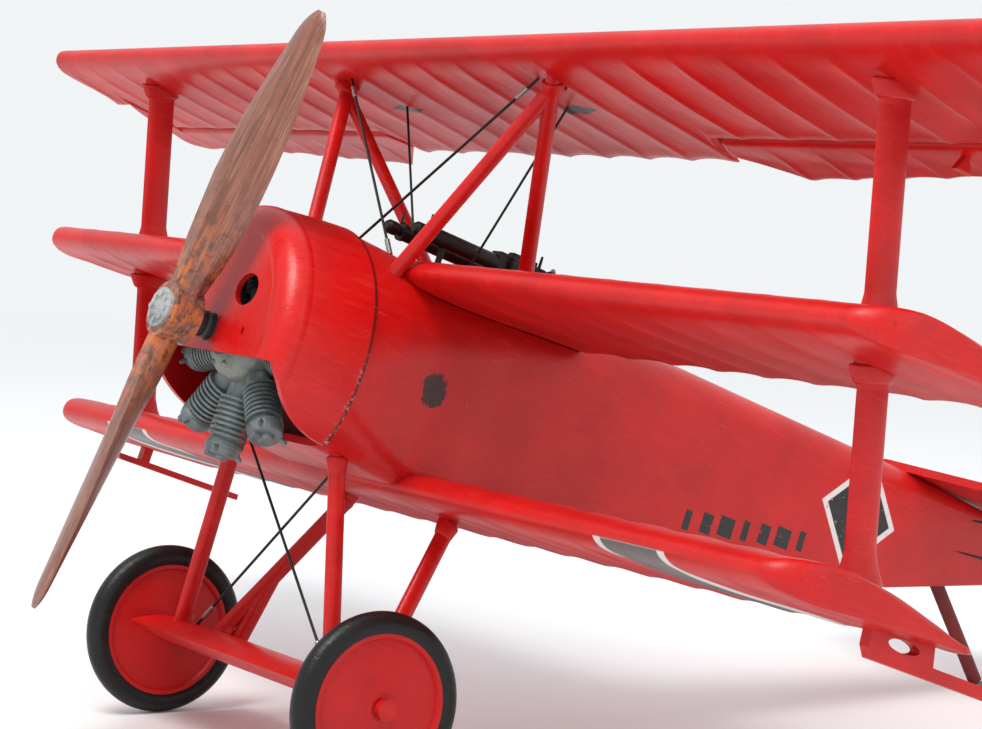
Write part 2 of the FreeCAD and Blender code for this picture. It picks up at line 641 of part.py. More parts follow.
def make_interplane_struts():
    """Upper and lower struts on each side, flared where they meet the wings."""
    for side, hand in SIDES:
        for level, top, bottom in (("upper", 51.0, 19.2), ("lower", 17.4, -11.4)):
            start, end = strut_centre(side, bottom), strut_centre(side, top)
            body = new_body(f"interplane_strut_{level}_{hand}",
                            at(start.x, start.y, start.z, along(start, end)))
            length, flare = (end - start).Length, dim("flare")
            sketches = []
            for height, grow in ((0, 1), (flare, 0), (length - flare, 0), (length, 1)):
                sketch = new_sketch(body, "XY_Plane", height)
                chord = dim("foot_chord") if grow else dim("strut_chord")
                thick = dim("foot_thick") if grow else dim("strut_thick")
                draw_ellipse(sketch, thick / 2, chord / 2)
                sketches.append(sketch)
            loft = add_feature(body, "AdditiveLoft", sketches[0], Ruled=True)
            loft.Sections = sketches[1:]
            keep(body)


def make_cabane():
    """Splayed legs carrying the upper wing, and the crossed bracing wires between them."""
    for side, hand in SIDES:
        front = (Vector(side * 11.9, 27.5, 13.4), Vector(side * 29.6, 34.6, 49.8))
        rear = (Vector(side * 10.6, 53.5, 18.4), Vector(side * 30.4, 32.3, 49.8))
        for name, (foot, head) in (("front", front), ("rear", rear)):
            body = new_body(f"cabane_strut_{name}_{hand}")
            keep(add_strut(body, foot, head, "cabane_chord", "cabane_thick"))
    wires = [rod(Vector(side * 26.5, 33.0 + side * 0.3, 49.6),
                 Vector(-side * 12.2, 30.0 + side * 0.3, 14.6), dim("wire_radius"))
             for side, hand in SIDES]
    keep(shape_part("cabane_cross_wires", Part.makeCompound(wires)))
    cables = [rod(Vector(side * 23.0, 42.0, 49.4), Vector(side * 6.5, 44.0, 20.2), 0.2)
              for side, hand in SIDES]
    keep(shape_part("aileron_cables", Part.makeCompound(cables)))


def make_landing_gear():
    for side, hand in SIDES:
        front = new_body("gear_front_strut_" + hand)
        keep(add_strut(front, Vector(side * 23.0, 33.4, -43.8), Vector(side * 14.6, 27.3, -11.0),
                       "gear_chord", "gear_thick"))
        foot, head = Vector(side * 22.6, 39.6, -43.9), Vector(side * 14.2, 50.8, -14.9)
        leg = new_body("gear_rear_leg_" + hand)
        add_strut(leg, foot, head, "gear_chord", "gear_thick")
        knee = foot + (head - foot) * 0.42
        brace = new_body("gear_rear_brace_" + hand)
        add_strut(brace, Vector(side * 21.4, 43.2, -44.2), knee, "gear_chord", "gear_thick")
        keep(boolean("gear_rear_strut_" + hand, "Fuse", leg, brace))
    wires = [rod(Vector(side * 14.2, 29.2 + side * 0.3, -11.9),
                 Vector(-side * 21.8, 34.6 + side * 0.3, -43.6), dim("wire_radius"))
             for side, hand in SIDES]
    keep(shape_part("gear_cross_wires", Part.makeCompound(wires)))

    fairing = new_body("axle_wing", at(0, dim("axle_aft") - 8.2, dim("axle_up")))
    section = new_sketch(fairing, "YZ_Plane")
    chord = dim("axle_wing_chord")
    draw_loop(section, [(0.0, 0.0, 0.22 * chord, 1.75), (chord, 0.15), (chord, -0.15,
                        0.3 * chord, -1.45)])
    pad = add_feature(fairing, "Pad", section, Length="2 * dims.axle_wing_half")
    pad.Midplane = True
    bore = new_sketch(fairing, "YZ_Plane")
    draw_circle(bore, "dims.axle_radius", 8.2, 0.0)
    cut_through(fairing, bore)
    keep(fairing)

    axle = new_body("axle", at(0, dim("axle_aft"), dim("axle_up")))
    sketch = new_sketch(axle, "YZ_Plane")
    draw_circle(sketch, "dims.axle_radius")
    add_feature(axle, "Pad", sketch, Length="2 * dims.axle_half").Midplane = True
    keep(axle)

    caps = [rod(Vector(side * dim("cap_inner"), 0, 0), Vector(side * (dim("cap_inner") + 1.1), 0, 0),
                dim("cap_radius")).cut(rod(Vector(side * 30, 0, 0), Vector(side * dim("axle_half"), 0, 0),
                                           dim("axle_radius")))
            for side, hand in SIDES]
    item = shape_part("axle_caps", Part.makeCompound(caps))
    item.Placement = at(0, dim("axle_aft"), dim("axle_up"))
    keep(item)


def make_wheels():
    """Each wheel is a coned disc with a small boss, and a round tyre on its rim."""
    rim, hub, edge = dim("disc_radius"), dim("disc_hub_half"), dim("disc_rim_half")
    bore, bead = dim("wheel_bore"), dim("bead_half")
    for side, hand in SIDES:
        place = at(side * dim("wheel_side"), dim("axle_aft"), dim("axle_up"))
        disc = new_body("wheel_disc_" + hand, place)
        turn_section(disc, [(-hub, bore), (hub, bore), (hub, 2.2), (edge, 9.6), (bead, 9.9),
                            (bead, rim), (-bead, rim), (-bead, 9.9), (-edge, 9.6), (-hub, 2.2)],
                     "H_Axis", "XY_Plane")
        keep(disc)
        tyre = new_body("tyre_" + hand, place)
        turn_section(tyre, [(-bead, rim), (bead, rim, 0.0, dim("wheel_radius"))],
                     "H_Axis", "XY_Plane")
        keep(tyre)


# side view of each bow, aft and up; the starboard one is a plain bar on a single post
BOWS = {
    "left": ((57.9, -14.3), (58.3, -17.6), (59.4, -19.0), (82.0, -19.0), (82.0, -17.3),
             (70.2, -17.3), (69.4, -14.3)),
    "right": ((50.9, -17.8), (52.2, -18.9), (78.6, -19.0), (78.6, -17.9), (58.1, -17.8),
              (58.1, -14.3), (56.3, -14.3), (56.3, -17.8)),
}


def make_wing_skids():
    """Bows under the lower wing tips; the port one has a web with an oval hole."""
    for side, hand in SIDES:
        body = new_body("wing_skid_" + hand, at(side * dim("strut_side"), 0, 0))
        outline = new_sketch(body, "YZ_Plane")
        draw_loop(outline, list(BOWS[hand]))
        add_feature(body, "Pad", outline, Length=1.8).Midplane = True
        if hand == "left":
            hole = new_sketch(body, "YZ_Plane")
            draw_ellipse(hole, 2.9, 0.85, 64.2, -16.1)
            cut_through(body, hole)
        keep(body)


# ---- tail ----

def lug_places():
    return [side * dim(name) for side, hand in SIDES for name in ("lug_inner", "lug_outer")]


def make_tailplane():
    """A flat triangular plane with small lugs for the elevator's hinge rod."""
    apex, span, rear = dim("tail_apex"), dim("tail_half_span"), dim("tail_rear")
    body = new_body("tailplane", at(0, 0, dim("tail_up")))
    sketch = new_sketch(body, "XY_Plane")
    draw_loop(sketch, [(-2.0, apex, 0.0, apex - 0.8), (2.0, apex),
                       (span - 5, rear - 8.0, span - 1.4, rear - 5.5), (span, rear - 1.5),
                       (span - 0.4, rear), (-span + 0.4, rear),
                       (-span, rear - 1.5, -span + 1.4, rear - 5.5), (-span + 5, rear - 8.0)])
    add_feature(body, "Pad", sketch, Length="dims.tail_thick").Midplane = True
    lugs = new_sketch(body, "XY_Plane")
    for place in lug_places():
        half = dim("lug_width") / 2
        draw_loop(lugs, [(place - half, rear - 1), (place + half, rear - 1),
                         (place + half, rear + 1.7), (place - half, rear + 1.7)])
    add_feature(body, "Pad", lugs, Length="dims.tail_thick").Midplane = True
    hole = new_sketch(body, "YZ_Plane")
    draw_circle(hole, "dims.hinge_radius", dim("elevator_hinge"), 0.0)
    cut_through(body, hole)
    return keep(body)


def make_elevator():
    """One piece from tip to tip, notched for the lugs and cut away round the rudder."""
    hinge, rear, span = dim("elevator_hinge"), dim("elevator_rear"), dim("tail_half_span")
    half_thick = dim("tail_thick") / 2
    front = hinge - half_thick
    body = new_body("elevator", at(0, 0, dim("tail_up")))
    section = new_sketch(body, "YZ_Plane")
    draw_loop(section, [(hinge, half_thick, front, 0.0), (hinge, -half_thick),
                        (rear, -0.3, rear + 0.3, 0.0), (rear, 0.3)])
    add_feature(body, "Pad", section, Length=2 * span).Midplane = True
    plan = [(-span, front - 1), (span, front - 1), (span, hinge + 3.5, span - 2.0, rear - 3.2),
            (span - 9, rear - 0.3), (20, rear + 0.5), (9, rear - 1.5), (3.4, hinge + 0.7),
            (-3.4, hinge + 0.7), (-9, rear - 1.5), (-20, rear + 0.5),
            (-span + 9, rear - 0.3, -span + 2.0, rear - 3.2), (-span, hinge + 3.5)]
    trim_to_plan(body, plan, 230.0)
    notches = new_sketch(body, "XY_Plane")
    reach = dim("lug_width") / 2 + dim("surface_gap")
    for place in lug_places():
        draw_loop(notches, [(place - reach, front - 1), (place + reach, front - 1),
                            (place + reach, hinge + 1.4), (place - reach, hinge + 1.4)])
    cut_through(body, notches)
    bore = new_sketch(body, "YZ_Plane")
    draw_circle(bore, "dims.hinge_bore", hinge, 0.0)
    cut_through(body, bore)
    keep(body)

    pin = new_body("elevator_hinge_rod", at(0, hinge, dim("tail_up")))
    sketch = new_sketch(pin, "YZ_Plane")
    draw_circle(sketch, "dims.hinge_radius")
    add_feature(pin, "Pad", sketch, Length=2 * (dim("lug_outer") + 3)).Midplane = True
    keep(pin)


def make_rudder():
    """A round balanced rudder turning on a post that two brackets hold to the stern."""
    post, foot = dim("rudder_post"), dim("rudder_foot")
    aft, up, disc = dim("rudder_aft"), dim("rudder_up"), dim("rudder_disc")
    nose = post - 1.1
    start = math.pi + math.acos((aft - nose) / disc)
    end = math.radians(-42)

    def on_disc(angle):
        return aft + disc * math.cos(angle), up + disc * math.sin(angle)

    body = new_body("rudder")
    sketch = new_sketch(body, "YZ_Plane")
    draw_loop(sketch, [(nose, foot), (*on_disc(start), *on_disc((start + end) / 2)), on_disc(end),
                       (post + 7.0, foot)])
    add_feature(body, "Pad", sketch, Length="dims.rudder_thick").Midplane = True
    bore = new_sketch(body, "XY_Plane", foot - 1)
    draw_circle(bore, "dims.post_bore", 0.0, post)
    add_feature(body, "Pocket", bore, Length=dim("bracket_high") + 3 - foot).Reversed = True
    notches = new_sketch(body, "YZ_Plane")
    reach = dim("bracket_thick") / 2 + dim("surface_gap")
    for name in ("bracket_low", "bracket_high"):
        draw_loop(notches, [(nose - 1, dim(name) - reach), (post + 1.7, dim(name) - reach),
                            (post + 1.7, dim(name) + reach), (nose - 1, dim(name) + reach)])
    cut_through(body, notches)
    keep(body)

    pin = new_body("rudder_post", at(0, post, dim("bracket_low") - 1.6))
    sketch = new_sketch(pin, "XY_Plane")
    draw_circle(sketch, "dims.post_radius")
    add_feature(pin, "Pad", sketch, Length=dim("bracket_high") - dim("bracket_low") + 3.4)
    keep(pin)

    brackets = new_body("rudder_brackets")
    for name in ("bracket_low", "bracket_high"):
        sketch = new_sketch(brackets, "XY_Plane", dim(name) - dim("bracket_thick") / 2)
        draw_loop(sketch, [(-1.2, dim("tail_end") - 1.2), (1.2, dim("tail_end") - 1.2),
                           (1.2, post, 0.0, post + 1.2), (-1.2, post)])
        draw_circle(sketch, "dims.post_radius", 0.0, post)
        add_feature(brackets, "Pad", sketch, Length="dims.bracket_thick")
    keep(brackets)


def make_tail_skid():
    """The sprung ash skid and its flat shoe, which stands on the ground."""
    shoe_top = dim("shoe_thick")
    tip_up = (shoe_top + dim("skid_clear") - GROUND_UP + dim("skid_tip_aft") * math.sin(TILT)) / math.cos(TILT)
    skid = new_body("tail_skid")
    add_strut(skid, Vector(0, dim("skid_root_aft"), dim("skid_root_up")),
              Vector(0, dim("skid_tip_aft"), tip_up), "gear_chord", "gear_thick")
    keep(skid)
    tip = AIRFRAME.multVec(Vector(0, dim("skid_tip_aft"), tip_up))
    shoe = doc.addObject("Part::Box", "tail_skid_shoe")
    shoe.setExpression("Length", "dims.shoe_wide")
    shoe.setExpression("Width", "dims.shoe_long")
    shoe.setExpression("Height", "dims.shoe_thick")
    shoe.Placement = Placement(Vector(-dim("shoe_wide") / 2, tip.y - dim("shoe_long") / 2 + 0.6, 0),
                               Rotation())
    keep(shoe)
    wires = []
    for side, hand in SIDES:
        wires.append(rod(Vector(side * 3.6, 165.0, 17.4), Vector(side * 3.2, 178.0, 19.2), 0.2))
        wires.append(rod(Vector(side * 3.8, 165.0, 11.3), Vector(side * 2.6, 179.0, 12.6), 0.2))
    keep(shape_part("tail_control_cables", Part.makeCompound(wires)))


# ---- guns ----

def make_guns():
    """Two machine guns side by side: cooling jacket with muzzle, and a boxy breech."""
    front, breech, rear = dim("gun_front"), dim("gun_breech"), dim("gun_rear")
    jacket, up = dim("jacket_radius"), dim("gun_up")
    for side, hand in SIDES:
        gun = new_body("gun_" + hand, at(side * dim("gun_side"), 0, up))
        turn_section(gun, [(front, 0.0), (front, 0.75), (front + 0.5, 1.1), (front + 1.8, 1.1),
                           (front + 2.0, 0.8), (front + 2.8, 0.8), (front + 2.8, jacket + 0.15),
                           (front + 3.4, jacket + 0.15), (front + 3.4, jacket), (breech, jacket),
                           (breech, 0.0)])
        box = new_sketch(gun, "YZ_Plane")
        draw_loop(box, [(breech - 0.2, -2.2), (rear - 0.8, -2.2), (rear, -1.0), (rear, 1.5),
                        (rear - 2.0, 1.9), (breech - 0.2, 1.9)])
        add_feature(gun, "Pad", box, Length=2.6).Midplane = True
        keep(gun)
    posts = []
    for side, hand in SIDES:
        for aft, foot in ((40.5, 20.0), (56.0, 18.2)):
            lower = Vector(side * dim("gun_side"), aft, foot)
            posts.append(rod(lower, Vector(lower.x, aft, up - 1.0), 0.5))
    keep(shape_part("gun_mounts", Part.makeCompound(posts)))


# ---- assembly ----

def check_everything():
    """Stop if any object failed, or any finished shape is empty or invalid."""
    for item in doc.Objects:
        faults = [state for state in item.State if "Invalid" in state or "Error" in state]
        if faults:
            raise RuntimeError(f"{item.Name} failed: {faults}")
    for item in finished:
        if item.Shape.isNull() or not item.Shape.isValid() or not item.Shape.Solids:
            raise RuntimeError(f"{item.Name} has no valid solid")


def main():
    upper, middle, lower = (make_wing(name) for name in ("upper", "middle", "lower"))
    open_aileron_bays(upper)
    make_ailerons()
    tailplane = make_tailplane()
    outside, core = make_fuselage([middle, lower], tailplane)
    make_cabin(outside, core)
    make_cowling()
    make_engine()
    make_propeller()
    make_interplane_struts()
    make_cabane()
    make_landing_gear()
    make_wheels()
    make_wing_skids()
    make_elevator()
    make_rudder()
    make_tail_skid()
    make_guns()
    doc.recompute()
    check_everything()
    os.makedirs("parts", exist_ok=True)
    for item in finished:
        item.Shape.exportStep(os.path.join("parts", item.Label + ".step"))
    print(len(finished), "sub-parts")


main()
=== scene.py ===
"""Looks of the three-winged scale model: brushed red enamel, painted wood, engine metal, tyres, wire.

Places are in aeroplane axes, in millimetres: X to port, Y aft along the thrust line, Z up, with the
zero at the propeller hub. STAND turns them into the frame's metres, nose up on the ground.
"""
import json
import math

import bmesh
import bpy
from mathutils import Matrix, Vector


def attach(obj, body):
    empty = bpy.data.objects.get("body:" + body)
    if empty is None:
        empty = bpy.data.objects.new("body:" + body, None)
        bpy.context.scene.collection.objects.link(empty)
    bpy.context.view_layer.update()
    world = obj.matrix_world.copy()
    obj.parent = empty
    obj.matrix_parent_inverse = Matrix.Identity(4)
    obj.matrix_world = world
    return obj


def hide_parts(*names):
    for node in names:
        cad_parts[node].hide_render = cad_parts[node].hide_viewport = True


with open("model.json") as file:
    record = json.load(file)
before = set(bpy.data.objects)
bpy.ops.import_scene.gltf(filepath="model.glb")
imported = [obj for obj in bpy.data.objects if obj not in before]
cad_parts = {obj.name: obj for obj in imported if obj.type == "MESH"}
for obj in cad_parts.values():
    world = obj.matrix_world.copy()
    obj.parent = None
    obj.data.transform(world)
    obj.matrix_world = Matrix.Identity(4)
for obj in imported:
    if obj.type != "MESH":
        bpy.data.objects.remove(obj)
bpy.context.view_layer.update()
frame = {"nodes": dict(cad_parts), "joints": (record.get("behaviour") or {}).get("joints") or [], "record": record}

SPIN = next(joint for joint in frame["joints"] if joint["name"] == "engine_spin")
AFT = Vector(SPIN["axis"])
PORT = Vector((1, 0, 0))
UP = PORT.cross(AFT)
TURN = Matrix((PORT, AFT, UP)).transposed()
STAND = Matrix.Translation(SPIN["pos_m"]) @ (TURN * 0.001).to_4x4()
UNSTAND = STAND.inverted()
GROUND_ANGLE = math.atan2(-AFT.z, AFT.y)

# ---- camera, floor and light ----

CAMERA_PLACE = (0.3281, -0.2646, 0.0853)
CAMERA_AZIMUTH, CAMERA_ELEVATION, CAMERA_ROLL = 55.14, 3.73, 3.29
CAMERA_LENS = 92.9


def look_from(azimuth, elevation, roll=0.0):
    """Axes of a camera or light that looks at the object from that side, in degrees."""
    side, rise, lean = (math.radians(angle) for angle in (azimuth, elevation, roll))
    back = Vector((math.sin(side) * math.cos(rise), -math.cos(side) * math.cos(rise),
                   math.sin(rise)))
    level = Vector((0, 0, 1)).cross(back).normalized()
    over = back.cross(level)
    right = level * math.cos(lean) + over * math.sin(lean)
    up = over * math.cos(lean) - level * math.sin(lean)
    return Matrix((right, up, back)).transposed()


def add_camera():
    data = bpy.data.cameras.new("camera")
    data.lens = CAMERA_LENS
    data.sensor_width = 36.0
    data.clip_start = 0.01
    camera = bpy.data.objects.new("camera", data)
    turn = look_from(CAMERA_AZIMUTH, CAMERA_ELEVATION, CAMERA_ROLL)
    camera.matrix_world = Matrix.Translation(CAMERA_PLACE) @ turn.to_4x4()
    bpy.context.scene.collection.objects.link(camera)
    bpy.context.scene.camera = camera


def add_softbox(name, azimuth, elevation, reach, size, power, colour):
    data = bpy.data.lights.new(name, "AREA")
    data.shape = "DISK"
    data.size = size
    data.energy = power
    data.color = colour
    lamp = bpy.data.objects.new(name, data)
    turn = look_from(azimuth, elevation)
    lamp.matrix_world = Matrix.Translation(turn.col[2] * reach) @ turn.to_4x4()
    bpy.context.scene.collection.objects.link(lamp)


def add_studio():
    world = bpy.data.worlds.new("studio")
    world.use_nodes = True
    backdrop = world.node_tree.nodes["Background"]
    backdrop.inputs["Color"].default_value = (0.96, 0.985, 1.0, 1)
    backdrop.inputs["Strength"].default_value = 0.92
    bpy.context.scene.world = world
    bpy.context.scene.view_settings.view_transform = "Standard"
    add_softbox("key", 20, 60, 0.9, 0.4, 5.5, (1.0, 0.985, 0.96))
    add_softbox("fill", 110, 25, 1.1, 0.6, 1.2, (0.96, 0.98, 1.0))

    bm = bmesh.new()
    bmesh.ops.create_circle(bm, cap_ends=True, segments=96, radius=1.5)
    floor = object_from(bm, "floor", Matrix.Identity(4))
    floor.data.materials.append(floor_paper())


# ---- mesh helpers ----

def object_from(bm, name, place=STAND, smooth=False):
    """A finished piece: its place goes into the mesh, and its object stays at the origin."""
    bm.transform(place)
    for face in bm.faces:
        face.smooth = smooth
    mesh = bpy.data.meshes.new(name)
    bm.to_mesh(mesh)
    bm.free()
    piece = bpy.data.objects.new(name, mesh)
    bpy.context.scene.collection.objects.link(piece)
    return piece


def finish_piece(piece, material, body, replaced=()):
    """Give a piece its material, the body it moves with and the CAD nodes it stands for."""
    piece.data.materials.append(material)
    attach(piece, body)
    if replaced:
        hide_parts(*replaced)
    return piece


def spread(t, knots):
    """Straight-line lookup of t in a list of (t, value) knots."""
    for (t0, value0), (t1, value1) in zip(knots, knots[1:]):
        if t <= t1:
            return value0 + (value1 - value0) * (t - t0) / (t1 - t0)
    return knots[-1][1]


def smooth_lookup(t, knots):
    """Curve through (t, value) knots, smooth at each of them."""
    for i, (left, right) in enumerate(zip(knots, knots[1:])):
        if t <= right[0] or i == len(knots) - 2:
            before, after = knots[max(i - 1, 0)], knots[min(i + 2, len(knots) - 1)]
            width = right[0] - left[0]
            u = min(max((t - left[0]) / width, 0.0), 1.0)
            slope0 = (right[1] - before[1]) / (right[0] - before[0]) * width
            slope1 = (after[1] - left[1]) / (after[0] - left[0]) * width
            return ((2 * u ** 3 - 3 * u ** 2 + 1) * left[1] + (u ** 3 - 2 * u ** 2 + u) * slope0
                    + (3 * u ** 2 - 2 * u ** 3) * right[1] + (u ** 3 - u ** 2) * slope1)


def rounded(depth, radius):
    """How full a section is at a depth in from a rounded edge: 0 at the edge, 1 past its radius."""
    if radius < 0.02 or depth >= radius:
        return 1.0
    return math.sqrt(max(1 - (1 - max(depth, 0) / radius) ** 2, 0.0))


# ---- fabric surfaces ----

CHORD = 35.7
# square root of the chord fraction, and the height there as a fraction of the chord
CROWN = ((0, 0), (0.141, 0.038), (0.283, 0.072), (0.436, 0.094), (0.574, 0.103), (0.721, 0.092),
         (0.849, 0.060), (0.938, 0.028), (1.0, 0.006))
BELLY = ((0, 0), (0.141, -0.030), (0.283, -0.050), (0.447, -0.055), (0.671, -0.045),
         (0.866, -0.022), (1.0, -0.006))
HEM = 0.22
RIB_PITCH, SCALLOP, TIP_REAR, TIP_RAKE = 10.2, 0.9, 4.0, 0.8

# ailerons: inner end of the hinge line, its slant, start of the balance, and stations of both
AILERON_INNER, AILERON_SLANT, AILERON_OUTER, BALANCE_SIDE = 45.0, 2.5, 129.0, 121.0
HINGE_STATION, BALANCE_STATION, SURFACE_GAP = 28.3, 17.4, 0.35

# raked line of interplane struts, and the guns' place
STRUT_SIDE, STRUT_AFT, STRUT_UP, STRUT_RAKE = 98.0, 35.9, 48.5, 0.308
GUN_SIDE, GUN_UP = 4.0, 25.2
WHEEL_FACE, AXLE_AFT, AXLE_UP = 33.55, 35.8, -44.7
CYLINDERS, CYLINDER_AFT = 9, 17.4


def section_height(station, knots, hem):
    """Height of the wing's top or underside at a station along the chord."""
    if station >= CHORD:
        return hem * HEM
    height = smooth_lookup(math.sqrt(max(station, 0.0) / CHORD), knots) * CHORD
    return max(height, HEM) if hem > 0 and station > 30 else height


class Fabric:
    """Doped cloth over ribs: raised rib tapes, sagging bays and a wire rear edge pulled in."""

    def __init__(self, first, last, bays, sag_over, sag_under, scallop):
        self.first, self.pitch = first, (last - first) / bays
        self.sag_over, self.sag_under, self.scallop = sag_over, sag_under, scallop

    def bay(self, x):
        """Distance to the nearest rib in mm, and how far into the bay from 0 to 1."""
        place = ((x - self.first) / self.pitch) % 1.0
        return min(place, 1 - place) * self.pitch, 4 * place * (1 - place)

    def dip(self, x, depth_front, depth_rear, sag):
        """Height lost to sag, less the height of the rib tape."""
        near, slack = self.bay(x)
        hold = min(max((depth_front - 2.0) / 6.0, 0.0), 1.0) * min(max(depth_rear / 3.0, 0.0), 1.0)
        tape = 0.14 * math.exp(-(near / 0.5) ** 2)
        return (sag * slack ** 0.8 - tape) * hold


def fabric_surface(name, spans, front, rear, fabric, place, across, along, front_round=None,
                   rear_round=0.25, heights=None):
    """A closed surface over x from spans, between its front and rear outlines, made from a grid."""
    front_round = front_round or (lambda x: min(1.5, front(x)))
    heights = heights or (lambda s: (section_height(s, CROWN, 1), section_height(s, BELLY, -1)))
    first, last = spans[0][1], spans[-1][1]
    bm = bmesh.new()
    bmesh.ops.create_grid(bm, x_segments=across, y_segments=2 * along, size=0.5)
    for vert in bm.verts:
        x = spread(vert.co.x + 0.5, spans)
        turn = 2 * (vert.co.y + 0.5) - 1
        share = abs(turn)
        lead, trail = front(x), rear(x)
        if share > 0.999:
            share = 1.0
        station = lead + (trail - lead) * share ** 2 * (1.6 - 0.6 * share ** 2)
        over, under = heights(station)
        middle, half = (over + under) / 2, (over - under) / 2
        fullness = (rounded(station - lead, front_round(x)) * rounded(trail - station, rear_round)
                    * rounded(min(x - first, last - x), 1.3))
        sag = fabric.sag_under if turn > 0 else fabric.sag_over
        loss = fabric.dip(x, station - lead, trail - station, sag)
        half = max(half - loss, 0.12) * fullness
        vert.co = Vector((x, station, middle - half if turn > 0 else middle + half))
    bmesh.ops.remove_doubles(bm, verts=bm.verts, dist=0.01)
    bmesh.ops.recalc_face_normals(bm, faces=bm.faces)
    return object_from(bm, name, STAND @ place, smooth=True)


def wing_place(aft, up, incidence):
    return Matrix.Translation((0, aft, up)) @ Matrix.Rotation(-math.radians(incidence), 4, "X")


def tip_front(x, half_span, corner, shoulder, rake):
    """Where the leading edge has run back to near a tip."""
    depth = half_span - abs(x)
    if depth >= corner:
        return 0.0
    if depth >= rake:
        across = (corner - depth) / (corner - rake)
        return shoulder * (1 - math.sqrt(max(1 - across ** 2, 0.0)))
    return shoulder + (0.6 * CHORD - shoulder) * (1 - depth / rake)


def make_wing(name, half_span, corner, shoulder, place, material, bay_cut=False):
    """One fabric wing, with room left for the ailerons and their balances if it has bays."""
    reach = half_span - TIP_REAR
    bays = int(2 * reach / RIB_PITCH)
    fabric = Fabric(-reach, reach, bays, 0.20, 0.42, SCALLOP)
    bay_inner, slant_inner = AILERON_INNER - SURFACE_GAP, AILERON_INNER - AILERON_SLANT - SURFACE_GAP

    def front(x):
        return tip_front(x, half_span, corner, shoulder, TIP_RAKE)

    def rear(x):
        depth = half_span - abs(x)
        if bay_cut and abs(x) > BALANCE_SIDE:
            return BALANCE_STATION - SURFACE_GAP
        if bay_cut and abs(x) > bay_inner:
            return HINGE_STATION - SURFACE_GAP
        if bay_cut and abs(x) > slant_inner:
            return HINGE_STATION - SURFACE_GAP + (bay_inner - abs(x)) * 1.8
        if depth < TIP_REAR:
            return CHORD - TIP_REAR + math.sqrt(max(TIP_REAR ** 2 - (TIP_REAR - depth) ** 2, 0.0))
        return CHORD - SCALLOP * fabric.bay(x)[1]

    edge = half_span - 3.0
    knots = [(0.0, -half_span), (0.02, -half_span + 0.35), (0.04, -edge), (0.96, edge),
             (0.98, half_span - 0.35), (1.0, half_span)]
    if bay_cut:
        port = [(0.654, slant_inner - 0.05), (0.655, slant_inner + 0.01), (0.669, bay_inner - 0.03),
                (0.67, bay_inner + 0.01), (0.949, BALANCE_SIDE - 0.02), (0.95, BALANCE_SIDE + 0.02),
                (0.985, half_span - 0.35), (1.0, half_span)]
        knots = [(1 - t, -x) for t, x in reversed(port)] + port
    surface = fabric_surface(name + "_fabric", knots, front, rear, fabric, place, 420, 26)
    return finish_piece(surface, material, "airframe", (name,))


def make_aileron(side, hand, place, material):
    """Cloth-covered aileron with a slanted inner end, flared rear edge and balance at the tip."""
    tail_inner, step = 53.2, BALANCE_SIDE + SURFACE_GAP
    fabric = Fabric(tail_inner, BALANCE_SIDE, 7, 0.16, 0.3, 0.6)

    def front(x):
        x = abs(x)
        if x > step + 0.01:
            return BALANCE_STATION + max(x - (AILERON_OUTER - 1.6), 0.0) * 1.4
        return HINGE_STATION + max(AILERON_INNER - x, 0.0) * 1.8

    def rear(x):
        x = abs(x)
        slack = fabric.scallop * fabric.bay(x)[1] if 53.5 < x < BALANCE_SIDE else 0.0
        return spread(x, [(42.5, 32.9), (53.5, 40.7), (90.0, 37.9), (124.0, 37.1), (128.0, 35.7),
                          (129.0, 32.2)]) - slack

    def heights(station):
        over, under = section_height(station, CROWN, 1), section_height(station, BELLY, -1)
        ease = min(max((station - 17.0) / 11.0, 0.0), 1.0)
        middle, half = (over + under) / 2, (over - under) / 2
        half = half * ease + 0.45 * (1 - ease)
        return middle + half, middle - half

    inner = AILERON_INNER - AILERON_SLANT
    knots = [(0.0, inner), (0.04, inner + 1.1), (0.9, step), (0.902, step + 0.03),
             (0.97, AILERON_OUTER - 0.8), (1.0, AILERON_OUTER)]
    if side < 0:
        knots = [(1 - t, -x) for t, x in reversed(knots)]
    surface = fabric_surface("aileron_fabric_" + hand, knots, front, rear, fabric, place, 150, 18,
                             front_round=lambda x: 1.1, heights=heights)
    return finish_piece(surface, material, "aileron_" + hand, ("aileron_" + hand,))


def make_horn(side, hand, place, material):
    """The small triangular horn under the aileron, where its cable is tied."""
    bm = bmesh.new()
    bmesh.ops.create_cone(bm, cap_ends=True, segments=3, radius1=2.1, radius2=1.7, depth=0.8)
    bmesh.ops.transform(bm, matrix=Matrix.Translation((side * 92.0, 31.3, -1.6))
                        @ Matrix.Rotation(math.radians(90), 4, "Y")
                        @ Matrix.Rotation(math.radians(-20), 4, "Z"), verts=bm.verts)
    bmesh.ops.bevel(bm, geom=bm.edges[:], offset=0.1, segments=2, profile=0.5, material=-1,
                    affect="EDGES")
    horn = object_from(bm, "aileron_horn_" + hand, STAND @ place)
    return finish_piece(horn, material, "aileron_" + hand)


# ---- fittings, engine and gun details ----

def along(start, end):
    """A place at start whose Z points to end and whose Y stays as near fore and aft as it can."""
    axis = (end - start).normalized()
    side = Vector((0, 1, 0)).cross(axis).normalized()
    return Matrix.Translation(start) @ Matrix((side, axis.cross(side), axis)).transposed().to_4x4()


def add_bar(bm, start, end, radius, far_radius=None, segments=16, bevel=0.0):
    """A round bar or cone between two points, with softened ends."""
    start, end = Vector(start), Vector(end)
    depth = (end - start).length
    made = bmesh.ops.create_cone(bm, cap_ends=True, segments=segments, radius1=radius,
                                 radius2=radius if far_radius is None else far_radius, depth=depth,
                                 matrix=along(start, end) @ Matrix.Translation((0, 0, depth / 2)))
    if bevel:
        rim = [edge for edge in {e for v in made["verts"] for e in v.link_edges}
               if any(len(face.verts) > 4 for face in edge.link_faces)]
        bmesh.ops.bevel(bm, geom=rim, offset=bevel, segments=2, profile=0.5, material=-1,
                        affect="EDGES")


